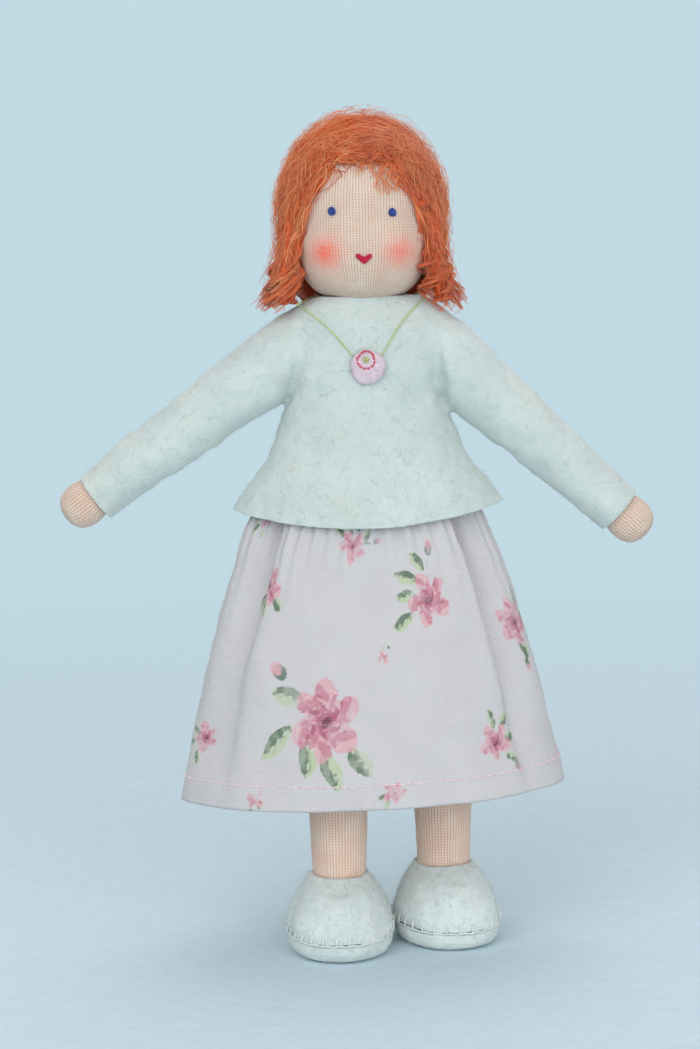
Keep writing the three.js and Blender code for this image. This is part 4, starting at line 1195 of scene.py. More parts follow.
@dataclass
class Hair:
    """Wavy mohair that falls from a parting over the head to the shoulders."""

    shop: Workshop
    head: Head
    locks_per_side: int = 84
    strands_per_lock: int = 28
    points: int = 34
    strand_radius: float = 0.073
    narrowing: float = 0.93
    fall: float = 0.6
    end_drop: float = 2.4
    right_spread: float = 3.4
    left_spread: float = 2.3
    loose_count: int = 1500
    wisp_count: int = 150
    swept_count: int = 95
    seed: int = 11
    shell: ClassVar[tuple] = ("hair_cap", "hair_back", "hair_right", "hair_left")

    def __post_init__(self) -> None:
        """Reads the hair's reach from the frame."""
        low, high = box_mm("hair_cap")
        self.middle = self.head.middle + np.array([0, 0.6, 0])
        half_width = (high[0] - low[0]) / 2 * self.narrowing
        self.reach = np.array([half_width, high[1] - self.middle[1], high[2] - self.middle[2]])
        self.ends = box_mm("hair_back")[0][2]
        self.draw = np.random.default_rng(self.seed)
        self.zones: dict[str, Strands] = {}

    def outward(self, points: Grid, least: float) -> Grid:
        """Pushes points off the head, so that no strand runs through it.

        Args:
            points: the strand's points.
            least: the room it keeps from the head.
        Returns:
            The points.
        """
        half = self.head.half + least
        local = (points - self.head.middle) / half
        size = np.linalg.norm(local, axis=-1, keepdims=True)
        return np.where(size < 1, self.head.middle + local / np.maximum(size, 1e-6) * half, points)

    def winding(self, t: Grid, low: float, high: float) -> Grid:
        """Angles along a strand, with its number of turns and its start drawn."""
        return t * TAU * self.draw.uniform(low, high) + self.draw.uniform(0, TAU)

    def lock_path(self, side: int, share: float, layer: float, length: float, count: int) -> Grid:
        """The middle line of one lock.

        Args:
            side: -1 or 1 for the side of the head.
            share: 0 at the forehead to 1 at the back of the head.
            layer: how far out it lies, 1 being the hair's outer face.
            length: how far it hangs, 1 being down to the ends.
            count: points along it.
        Returns:
            The points.
        """
        lean = math.radians(np.interp(share, [0, 0.25, 0.6, 1], [56, 34, 0, -22]))
        behind = share > 0.1
        root = self.draw.uniform(-0.3, 0.12) * (1 - 0.4 * share) if behind else self.draw.uniform(-0.12, 0.1)
        start = unit(np.array([side * root, -math.sin(lean), math.cos(lean)]))
        turn = math.radians(np.interp(share, [0, 0.2, 0.5, 1], [-27, -14, 18, 88]))
        dip = math.radians(-8)
        end = np.array([side * math.cos(turn) * math.cos(dip), math.sin(turn) * math.cos(dip), math.sin(dip)])
        angle = math.acos(np.clip(start @ end, -1, 1))
        t = np.linspace(0, 1, count)
        s = np.clip(t / self.fall, 0, 1)[:, None]
        way = (np.sin((1 - s) * angle) * start + np.sin(s * angle) * end) / math.sin(angle)
        # The locks in front arch over the forehead before they fall
        way = unit(way + np.interp(share, [0, 0.3], [0.58, 0]) * np.sin(s * math.pi) * UP)
        path = self.middle + way * self.reach * layer
        # The front locks bow in over the temples and then open round the cheeks
        path[:, 0] -= side * np.interp(share, [0, 0.32], [2.1, 0]) * bump(t - 0.47, 0.13)
        drop = eased(t, self.fall - 0.1, 1.05)
        bottom = self.ends - self.end_drop + (1 - length) * 16
        low = path[-1, 2]
        hang = np.clip((t - self.fall) / (1 - self.fall), 0, 1)
        path[:, 2] = np.where(t > self.fall, low + (bottom - low) * hang**1.05, path[:, 2])
        spread = self.right_spread if side < 0 else self.left_spread
        spread += 2.0 * math.sin(math.pi * min(share * 1.3, 1))
        return path + np.outer(drop * hang, [side * spread, -0.6 + 1.2 * share, 0])

    def build(self) -> None:
        """Makes the painted-shade mass under the locks, the locks, and the loose hairs."""
        self.under_mass()
        for side in Side:
            for number in range(self.locks_per_side):
                self.lock(side, (number + self.draw.uniform(0, 0.9)) / self.locks_per_side)
        for name, strands in self.zones.items():
            self.hand_over(name, strands)
        loose = Strands()
        self.loose_hairs(loose)
        self.wisps(loose)
        self.hand_over("hair_loose", loose)

    def hand_over(self, name: str, strands: Strands) -> None:
        """Makes one piece of hair from its strands."""
        mohair = self.shop.finishes.mohair
        piece = self.shop.tubes(name, strands.paths, strands.radii, mohair, 3, strands.shades)
        settled(piece, "head", "mohair")

    def under_mass(self) -> None:
        """Makes a dark mass that closes the view between the locks: painted shade in the depths of the hair."""
        copies = [linked(node + "_copy", frame["nodes"][node].data.copy()) for node in self.shell]
        mass = remeshed(joined("hair_mass", copies), 0.7, 6)
        points, normals = vertices_of(mass), normals_of(mass)
        local = points - self.middle
        height = local[:, 2]
        round_head = np.arctan2(local[:, 0], -local[:, 1]) * 26
        stripes = np.sin(round_head + ripple(points, 6, 5) * 2 + 0.5 * np.sin(height * 0.9))
        inset = 1.1 + 1.5 * (1 - eased(height, -16, -6))
        points = points + normals * (0.28 * stripes + 0.25 * ripple(points, 2.4, 6) - inset)[:, None]
        points[:, 1] += 1.7 * eased(-local[:, 1], 5, 11)
        points[:, 2] -= 2.9 * eased(-height, 9, 15)
        points[:, 0] -= local[:, 0] * (1 - self.narrowing)
        move_to(mass, points)
        # Low shades: the mass is painted as the shade deep between the locks
        point_values(mass, "shade", 0.12 + 0.12 * stripes)
        dressed(mass, self.shop.finishes.mohair)
        settled(mass, "head", "mohair", *self.shell)

    def lock(self, side: Side, share: float) -> None:
        """Adds one lock's strands to the piece of its part of the head.

        Args:
            side: the side of the head.
            share: 0 at the forehead to 1 at the back of the head.
        """
        draw = self.draw
        layer = draw.choice([0.84, 0.88, 0.91, 0.94], p=[0.25, 0.3, 0.3, 0.15]) * draw.uniform(0.985, 1.01)
        centre = self.lock_path(side.value, share, layer, draw.uniform(0.86, 1.02), self.points)
        t = np.linspace(0, 1, self.points)
        phase, swing, pitch = draw.uniform(0, TAU), draw.uniform(0.6, 1.5), draw.uniform(3.6, 6.2)
        out = unit((centre - self.middle) * [1, 1, 0.4])
        across = np.cross(unit(np.gradient(centre, axis=0)), out)
        grow = (0.25 + 0.75 * t) * swing
        wave = np.sin(t * TAU * pitch + phase)
        bob = 0.5 * np.cos(t * TAU * pitch * 0.9 + phase * 1.7)
        centre = shifted(centre, (across, wave * grow), (out, bob * grow))
        # The ends wind up into curls
        wind = self.winding(t, 4.5, 7.0)
        curl = eased(t, 0.7, 0.9) * draw.uniform(1.0, 2.5)
        centre = shifted(centre, (across, curl * np.sin(wind)), (out, curl * (np.cos(wind) - 0.5)))
        zone = "front" if share < 0.34 else ("side" if share < 0.66 else "back")
        strands = self.zones.setdefault(f"hair_{zone}_{side.word}", Strands())
        # Locks in the inner layers are drawn darker: painted shade under the outer locks
        shade = np.clip(draw.normal(0.5, 0.16) - (0.2 if layer < 0.87 else 0), 0.1, 0.95)
        for _ in range(self.strands_per_lock):
            self.strand(strands, centre, across, out, shade)

    def strand(self, strands: Strands, centre: Grid, across: Grid, out: Grid, base_shade: float) -> None:
        """Adds one strand of a lock.

        Args:
            strands: where it goes.
            centre: the lock's middle line.
            across, out: directions over the head and away from it along the line.
            base_shade: the lock's own shade.
        """
        draw = self.draw
        t = np.linspace(0, 1, len(centre))
        widths = np.interp(t, [0, 0.25, 0.7, 1], [0.9, 1.4, 1.2, 0.55]) * math.sqrt(draw.uniform(0, 1))
        turn = draw.uniform(0, TAU) + draw.uniform(-1, 1) * 1.6 * t
        frizz = draw.uniform(0.08, 0.42)
        stray = draw.normal(0, 0.75) * np.sin(self.winding(t / 2, 0.7, 1.6))
        aside = np.cos(turn) * widths + np.sin(self.winding(t, 6, 12)) * frizz + stray
        outside = np.sin(turn) * widths * 0.5 + np.cos(self.winding(t, 5, 9)) * frizz * 0.7
        path = shifted(centre, (across, aside), (out, outside))
        first = draw.integers(0, 3)
        path = self.outward(path[first : len(t) - draw.integers(0, 7)], 0.35)
        taper = np.interp(np.linspace(0, 1, len(path)), [0, 0.1, 0.8, 1], [0.7, 1, 0.9, 0.35])
        radius = self.strand_radius * draw.uniform(0.6, 1.25) * taper
        strands.add(path, radius, np.clip(base_shade + draw.normal(0, 0.13), 0, 1))

    def loose_hairs(self, loose: Strands) -> None:
        """Adds fine single hairs that stand off the locks all round.

        Args:
            loose: where they go.
        """
        draw, count = self.draw, 26
        t = np.linspace(0, 1, count)
        for _ in range(self.loose_count):
            side = draw.choice([-1, 1])
            share = draw.uniform(0, 1) ** 0.8
            path = self.lock_path(side, share, draw.uniform(0.9, 1.01), draw.uniform(0.75, 1.06), count)
            out = unit(path - self.middle)
            across = unit(np.cross(np.gradient(path, axis=0), out))
            turns = self.winding(t, 3, 7)
            size = draw.uniform(0.3, 2.1)
            lift = np.abs(np.cos(turns * 0.8)) * size * 0.9
            path = shifted(path, (across, np.sin(turns) * size), (out, lift))
            first = draw.integers(0, 12)
            path = self.outward(path[first : first + draw.integers(8, 15)], 0.5)
            loose.add(path, draw.uniform(0.02, 0.036), draw.uniform(0.5, 1.0))

    def wisps(self, loose: Strands) -> None:
        """Adds a few hairs across the forehead, most of them swept to the doll's left.

        Args:
            loose: where they go.
        """
        draw = self.draw
        t = np.linspace(0, 1, 14)
        for number in range(self.wisp_count):
            swept = number < self.swept_count
            x = draw.uniform(1.8, 9.4) if swept else draw.uniform(-9.0, 9.5)
            low = draw.uniform(3.0, 7.8) if swept else draw.uniform(6.0, 9.5)
            rises = np.interp(t, [0, 1], [11.4 - 0.045 * x * x, low])
            aside = x + np.sin(self.winding(t, 0.6, 1.6)) * 0.8 + t * draw.uniform(-1, 2.4)
            aside = np.clip(aside, -10.5, 10.5)
            path = np.array([self.head.on_face(a, r, draw.uniform(0.2, 0.9)) for a, r in zip(aside, rises)])
            loose.add(path, draw.uniform(0.045, 0.065), draw.uniform(0.55, 0.95))


@dataclass
class FeltTop:
    """The long-sleeved felt top: one skin, cut into pieces at the armholes, the shoulders and the elbows."""

    shop: Workshop
    thick: float = 1.1
    voxel: float = 0.5
    hem_tilt: float = 1.3
    hem_bow: float = 2.6
    hem_shift: float = 0.6
    neck_lift: float = 1.3
    cuff_reach: float = 44.0
    sleeve_start: float = 6.5
    sleeve_end: float = 4.35
    armpit_half_width: float = 13.7
    armpit_rise: float = 22.3
    # Out of the armpit, across and up: the way that parts a sleeve from the body
    armpit_way: tuple = (0.774, 0.633)
    # The bending stretches: where the armhole's begins, and half the elbow's
    bend_start: float = 0.6
    bend_half: float = 4.0
    # How far the underside of a sleeve lies below its arm at the elbow
    sleeve_drop: float = 6.3
    # Degrees that a sleeve's armhole plane leans at when its arm is level
    armhole_lean: float = 54.3
    # Up from the hem and over the chest: height, half width, what the half depth lacks, and power
    flare_rows: ClassVar[tuple] = (
        (-4, 3.2, -0.7, 1.8), (0, 1.1, 0, 1.8), (5.5, -1.9, 0.7, 1.85), (11, -5.3, 1.5, 1.9),
        (17, -7.5, 2.4, 2.0),
    )
    chest_rows: ClassVar[tuple] = ((0.45, 13.6, 3.8, 2.2), (0.72, 13.8, 4.7, 2.2), (0.9, 13.2, 5.9, 2.2))
    # Each armhole's fold: how far it leans in, how high it goes and how deep it is
    folds: ClassVar[dict] = {Side.RIGHT: (3.6, 11.5, 0.9), Side.LEFT: (1.6, 13.5, 1.15)}

    def __post_init__(self) -> None:
        """Reads the top's place from the frame."""
        low, high = box_mm("top_front")
        self.hem_z, self.neck_z = low[2], high[2]
        self.hem_half = (high[0] - low[0]) / 2
        self.depth_half = MIDDLE_Y - low[1]
        self.armpit_z = self.hem_z + self.armpit_rise
        self.shoulder = {side: side.pivot("shoulder_raise") for side in Side}
        self.arm_way = {side: unit(side.pivot("elbow") - self.shoulder[side]) for side in Side}

    def form(self) -> Piece:
        """The body and both sleeves, melted into one closed form."""
        up, depth, collar = self.neck_z - self.armpit_z, self.depth_half, self.neck_z + self.neck_lift
        sections = [(self.hem_z + z, self.hem_half + w, depth - d, p) for z, w, d, p in self.flare_rows]
        sections.append((self.armpit_z, self.armpit_half_width, depth - 3.2, 2.1))
        sections += [(self.armpit_z + up * z, w, depth - d, p) for z, w, d, p in self.chest_rows]
        sections += [
            (self.neck_z, 11.6, depth - 6.8, 2.1),
            (self.neck_z + self.neck_lift * 0.6, 9.3, depth - 7.4, 2.0),
            (collar, 7.3, depth - 7.3, 2.0),
            (collar + 2.5, 6.7, depth - 7.7, 2.0),
            (collar + 5.0, 6.3, depth - 7.9, 2.0),
        ]
        start = self.sleeve_start
        profile = [(-9, 5.2), (-4, 6.2), (0, start), (10, start - 0.25), (22, 5.55), (34, 4.95),
                   (self.cuff_reach + 3, self.sleeve_end)]
        parts = [wrapped("top_body_form", lofted(sections, 60, 96, np.array([MIDDLE_X, MIDDLE_Y])))]
        for side in Side:
            rings = turned_along(self.shoulder[side], self.arm_way[side], profile, 60, 40)
            parts.append(wrapped(side.of("sleeve_form"), rings))
        return remeshed(joined("top_skin", parts), self.voxel, 14)

    def outer(self) -> Piece:
        """Makes the outer face: the form, creased, then cut at the hem, the neck and the cuffs.

        Returns:
            The face, without thickness.
        """
        skin = self.form()
        self.crease(skin)

        def near_hem(spots: Grid) -> Grid:
            """Tells which points are low on the body and not on a sleeve.

            Args:
                spots: the points.
            Returns:
                One flag for each.
            """
            near = (spots[:, 2] < self.armpit_z - 8) & (np.abs(spots[:, 0] - MIDDLE_X) < self.hem_half + 3)
            for side in Side:
                near &= self.reach_along(spots, side) < 34
            return near & self.under_arms(spots)

        hem_way = unit(np.array([math.tan(math.radians(self.hem_tilt)), 0, -1.0]))
        cut_off(skin, np.array([MIDDLE_X, MIDDLE_Y, self.hem_z + 0.6]), hem_way, near_hem)
        cut_off(skin, (self.neck_z + self.neck_lift) * UP, UP)
        self.bow_hem(skin)
        for side in Side:

            def near_cuff(spots: Grid, side: Side = side) -> Grid:
                """Tells which points are far along a sleeve."""
                return (self.reach_along(spots, side) > self.cuff_reach - 6) & ~self.under_arms(spots)

            way = self.arm_way[side]
            cut_off(skin, self.shoulder[side] + way * self.cuff_reach, way, near_cuff)
        return skin

    def bow_hem(self, skin: Piece) -> None:
        """Lifts the hem towards the side seams, where the two panels are cut shorter.

        Args:
            skin: the outer face, which is changed.
        """
        points = vertices_of(skin)
        across = (points[:, 0] - MIDDLE_X) / self.hem_half
        low = (1 - eased(points[:, 2], self.hem_z + 2, self.armpit_z - 4)) * self.under_arms(points)
        points[:, 2] += self.hem_bow * across**2 * low
        points[:, 0] += self.hem_shift * low
        move_to(skin, points)

    def reach_along(self, spots: Grid, side: Side) -> Grid:
        """Distance of points along an arm from its shoulder."""
        return (spots - self.shoulder[side]) @ self.arm_way[side]

    def armpit(self, side: Side) -> Grid:
        """Where a sleeve's underside meets the body."""
        return np.array([MIDDLE_X + side.value * self.armpit_half_width, MIDDLE_Y, self.armpit_z])

    def under_arms(self, spots: Grid) -> Grid:
        """Tells which points belong to the body and not to a sleeve.

        Args:
            spots: the points.
        Returns:
            One flag for each.
        """
        body = np.ones(len(spots), bool)
        for side in Side:
            off = spots - self.armpit(side)
            body &= (off[:, 0] * side.value * self.armpit_way[0] + off[:, 2] * self.armpit_way[1]) < 0
        return body

    def crease(self, skin: Piece) -> None:
        """Presses the armhole folds and the felt's slow unevenness into the skin.

        Args:
            skin: the closed form, which is changed.
        """
        points, normals = vertices_of(skin), normals_of(skin)
        push = 0.22 * ripple(points, 9, 21) + 0.10 * ripple(points, 3.2, 22)
        level = eased(np.abs(normals[:, 1]), 0.25, 0.7)
        for side, (lean, rise, depth) in self.folds.items():
            across, up = -side.value * lean, rise
            off = points - self.armpit(side)
            share = np.clip((off[:, 0] * across + off[:, 2] * up) / (across**2 + up**2), 0, 1)
            gap = np.sqrt((off[:, 0] - share * across) ** 2 + (off[:, 2] - share * up) ** 2)
            fade = 1 - eased(share, 0.35, 1.0)
            push += level * fade * depth * (0.3 * bump(gap - 2.2, 1.2) - bump(gap, 0.9))
        move_to(skin, points + normals * push[:, None])

    def build(self) -> Piece:
        """Makes the top and hands its pieces over.

        Returns:
            The uncut outer face, for what lies on it.
        """
        skin = self.outer()
        felt = self.shop.finishes.felt
        walled = linked("top_walled", skin.data.copy())
        self.shop.felted(walled, felt, 0.9, 1.1, 4, self.thick, 0.015)
        spots = island_spots(walled)
        cuts = [cut for side in Side for cut in self.sleeve_cuts(side, spots)]
        taken = np.any([flags for _, flags, *_ in cuts], axis=0)
        cuts.insert(0, ("top_body", ~taken, "torso", None, ("top_front", "top_back")))
        for name, flags, bodies, span, nodes in cuts:
            settled(dressed(part_of(walled, name, flags), felt), bodies, "white_felt", *nodes, span=span)
        bpy.data.objects.remove(walled)
        return skin

    def sleeve_cuts(self, side: Side, spots: Grid) -> list[tuple]:
        """Cuts a sleeve into lengths that part at the armhole, the shoulder and the elbow.

        Args:
            side: which sleeve.
            spots: a place for each face of the top.
        Returns:
            For each length its name, its faces, its bodies, its span and the nodes it stands for.
        """
        arm, pit, elbow = self.arm_way[side], self.armpit(side), side.pivot("elbow")
        lean = math.radians(self.armhole_lean) - math.atan2(-arm[2], abs(arm[0]))
        way = np.array([side.value * math.cos(lean), 0, math.sin(lean)])
        upper_end = float(np.linalg.norm(elbow - self.shoulder[side])) - self.bend_half
        below = np.abs(np.cross(np.array([0, side.value, 0]), arm)) * np.array([side.value, 0, 1])
        under = self.shoulder[side] + arm * upper_end - below * self.sleeve_drop
        far = float((under - pit) @ way)
        turn_end = self.bend_start + 0.42 * (far - self.bend_start)
        past = (spots - pit) @ way
        before_elbow = self.reach_along(spots, side) < upper_end
        own = (spots[:, 0] - MIDDLE_X) * side.value > 0
        sleeve = own & (past > self.bend_start) & ~self.under_arms(spots)
        root = sleeve & (past <= turn_end) & before_elbow
        torso, shoulder, upper, lower = "torso", *(side.of(b) for b in ("shoulder", "upper_arm", "forearm"))
        marks = [pit + way * reach for reach in (self.bend_start, turn_end, far)]
        at_elbow = (elbow - arm * self.bend_half, elbow + arm * self.bend_half)
        middle, end = sleeve & ~root & before_elbow, sleeve & ~before_elbow
        return [
            (side.of("sleeve_root"), root, (torso, shoulder), marks[:2], ()),
            (side.of("sleeve_upper"), middle, (shoulder, upper), marks[1:], (side.of("upper_sleeve"),)),
            (side.of("sleeve_lower"), end, (upper, lower), at_elbow, (side.of("lower_sleeve"),)),
        ]


def island_spots(piece: Piece, most: int = 200) -> Grid:
    """One place for each face: its own middle, or its fibre's first face's if it is part of a fibre.

    Args:
        piece: the piece with its fibres.
        most: faces that an island has at most if it is a fibre.
    Returns:
        The places.
    """
    work = bmesh.new()
    work.from_mesh(piece.data)
    work.faces.ensure_lookup_table()
    spots = face_middles(piece)
    seen = np.zeros(len(work.faces), bool)
    for face in work.faces:
        if seen[face.index]:
            continue
        island, stack = [], [face]
        seen[face.index] = True
        while stack:
            now = stack.pop()
            island.append(now.index)
            fresh = {near for edge in now.edges for near in edge.link_faces if not seen[near.index]}
            seen[[near.index for near in fresh]] = True
            stack += fresh
        if len(island) < most:
            spots[island] = spots[min(island)]
    work.free()
    return spots


@dataclass
class Arms:
    """The hands at the ends of the sleeves."""

    shop: Workshop
    cuff_reach: float = 44.0
    hand_reach: float = 50.6
    flatness: float = 0.93
    ribs: int = 42
    stitch_length: float = 0.46

    def build(self) -> None:
        """Makes both hands."""
        cuff, tip = self.cuff_reach, self.hand_reach
        profile = [(cuff - 5, 2.9), (cuff - 1.6, 3.1), (cuff + 0.3, 3.75), (cuff + 2.4, 4.1),
                   (cuff + 4.4, 3.7), (cuff + 5.9, 2.5), (tip - 0.15, 1.2), (tip, 0.35)]
        for side in Side:
            shoulder = side.pivot("shoulder_raise")
            rings = turned_along(shoulder, side.pivot("elbow") - shoulder, profile, 44, 56)
            middle = rings.mean(axis=1, keepdims=True)
            rings[..., 1] = middle[..., 1] + (rings[..., 1] - middle[..., 1]) * self.flatness
            hand = wrapped(side.of("hand_knit"), rings, self.ribs, 1 / self.stitch_length)
            dressed(hand, self.shop.finishes.knit)
            settled(hand, side.of("forearm"), "knit_skin", side.of("hand"))


@dataclass(frozen=True)
class Motif:
    """One printed sprig: its place on the flat cloth from the front middle and the hem."""

    across: float
    rise: float
    size: float
    turn: float
    petals: int
    leaves: int

    def spot(self, reach: float, way: float) -> tuple[float, float]:
        """A place at a share of the sprig's size along a direction."""
        return self.across + reach * self.size * math.cos(way), self.rise + reach * self.size * math.sin(way)


SPRIGS = (
    Motif(-9.5, 16.0, 7.4, 20, 6, 5), Motif(13.5, 37.0, 5.2, -35, 5, 4), Motif(-25, 40, 4.0, 100, 6, 3),
    Motif(24, 10, 3.6, 190, 5, 4), Motif(3.5, 3.0, 2.2, 60, 5, 2), Motif(-36, 12, 3.2, 40, 5, 3),
    Motif(38, 31, 4.6, 150, 6, 4), Motif(-4, 47, 3.4, 250, 5, 4), Motif(2.5, 27, 1.5, -70, 4, 2),
    Motif(-49, 33, 4.8, -20, 6, 5), Motif(53, 9, 5.6, 75, 6, 5), Motif(-64, 11, 5.4, 200, 6, 5),
    Motif(66, 40, 4.2, 10, 5, 4), Motif(-76, 39, 4.4, 120, 5, 4), Motif(83, 17, 4.0, -60, 6, 4),
    Motif(-22, 2, 1.8, 140, 4, 2), Motif(28, 50, 2.6, 0, 5, 3), Motif(-34, 52, 2.4, 60, 4, 3),
)
# Each brush mark in a petal: ink, reach, swing, half length and half width as shares, and turn
PETAL_MARKS = (
    ("petal_mid", 0.66, 0.2, 0.3, 0.13, 0.9), ("petal_deep", 0.62, 0.38, 0.13, 0.05, 1.2),
    ("glint", 0.74, -0.2, 0.16, 0.045, 1.2), ("petal_mid", 0.3, 0.45, 0.2, 0.14, 0.45),
    ("glint", 0.36, 0.5, 0.13, 0.04, 1.9), ("petal_deep", 0.33, 0.1, 0.2, 0.075, 0.9),
)


class Print:
    """The printed sprigs: how far each point of the cloth lies inside each ink's shapes."""

    def __init__(self, across: Grid, rise: Grid, width: float) -> None:
        """Prints every sprig.

        Args:
            across, rise: each point's place on the flat cloth.
            width: the cloth's width, over which the print joins up.
        """
        self.across, self.rise, self.width = across, rise, width
        self.inks = {name: np.full(across.shape, -9.0) for name, *_ in CottonPrintFinish.inks}
        for number, motif in enumerate(SPRIGS):
            self.leaves(motif, number)
            if motif.leaves > 3:
                self.bud(motif)
            self.blossom(motif, number)

    def put(self, ink: str, inside: Grid) -> None:
        """Adds a shape to an ink."""
        self.inks[ink] = np.maximum(self.inks[ink], inside)

    def offsets(self, spot: tuple[float, float], turn: float) -> tuple[Grid, Grid]:
        """Offsets from a spot along and across a direction on the cloth.

        Args:
            spot: the spot.
            turn: the direction.
        Returns:
            Both offsets for each point.
        """
        dx = np.mod(self.across - spot[0] + self.width / 2, self.width) - self.width / 2
        dy = self.rise - spot[1]
        return dx * math.cos(turn) + dy * math.sin(turn), dy * math.cos(turn) - dx * math.sin(turn)

    def ellipse(self, ink: str, spot: tuple[float, float], half_long: float, half_wide: float,
                turn: float) -> None:
        """Adds a turned ellipse to an ink."""
        far, wide = self.offsets(spot, turn)
        self.put(ink, (1 - np.sqrt((far / half_long) ** 2 + (wide / half_wide) ** 2)) * half_wide)

    def leaf(self, spot: tuple[float, float], half_long: float, half_wide: float, turn: float) -> None:
        """Adds a pointed leaf: pale all over, dark along its lower half and its midrib.

        Args:
            spot: its middle.
            half_long, half_wide: half its length and width.
            turn: its direction.
        """
        far, wide = self.offsets(spot, turn)
        wide = wide - 0.25 * half_wide * np.sin(far / half_long * 2)
        inside = half_wide * (1 - (far / half_long) ** 2) - np.abs(wide)
        inside = np.where(np.abs(far) < half_long, inside, -9)
        notch = 0.12 * half_wide * np.sin(far / half_long * 14)
        self.put("leaf_pale", inside)
        self.put("leaf_dark", np.minimum(inside, -wide + notch))
        self.put("leaf_dark", np.minimum(inside, 0.13 - np.abs(wide - half_wide * 0.3)))

    def leaves(self, motif: Motif, number: int) -> None:
        """Prints a sprig's leaves.

        Args:
            motif: the sprig.
            number: its number, which varies them.
        """
        for one in range(motif.leaves):
            way = math.radians(motif.turn) + math.radians(130 + one * 43 + 11 * math.sin(number * 2 + one))
            spot = motif.spot(1.18 + 0.22 * math.sin(one * 2.1 + number), way)
            half_long = motif.size * (0.5 + 0.1 * (one % 2))
            self.leaf(spot, half_long, motif.size * 0.25, way + 0.35 * math.sin(one + number))

    def bud(self, motif: Motif) -> None:
        """Prints a sprig's bud on its stem.

        Args:
            motif: the sprig.
        """
        stem, size = math.radians(motif.turn + 118), motif.size
        self.ellipse("leaf_dark", motif.spot(1.15, stem), 0.5 * size, 0.17, stem)
        self.ellipse("leaf_dark", motif.spot(1.75, stem), 0.24 * size, 0.17 * size, stem)
        self.ellipse("petal_pale", motif.spot(1.91, stem), 0.22 * size, 0.15 * size, stem)
        self.ellipse("petal_deep", motif.spot(1.95, stem), 0.12 * size, 0.05 * size, stem)

    def blossom(self, motif: Motif, number: int) -> None:
        """Prints a sprig's petals and its heart.

        Args:
            motif: the sprig.
            number: its number, which varies them.
        """
        base, size = math.radians(motif.turn), motif.size
        for petal in range(motif.petals):
            way = base + petal * TAU / motif.petals + 0.1 * math.sin(petal * 2.3 + number)
            long = size * (0.5 + 0.05 * math.sin(petal * 1.7 + number))
            wide = size * (0.3 + 0.08 * math.sin(petal * 2.9 + number))
            self.ellipse("petal_pale", motif.spot(0.52, way + 0.04), long, wide, way + 0.25)
            self.ellipse("petal_mid", motif.spot(0.5, way - 0.34), long * 0.5, size * 0.08, way - 0.35)
            for ink, reach, swing, *half, turn in PETAL_MARKS:
                self.ellipse(ink, motif.spot(reach, way + swing), size * half[0], size * half[1], way + turn)
        self.ellipse("petal_deep", (motif.across, motif.rise), size * 0.24, size * 0.2, base)
        heart = (motif.across + 0.04 * size, motif.rise - 0.03 * size)
        self.ellipse("heart", heart, size * 0.17, size * 0.12, base + 0.6)


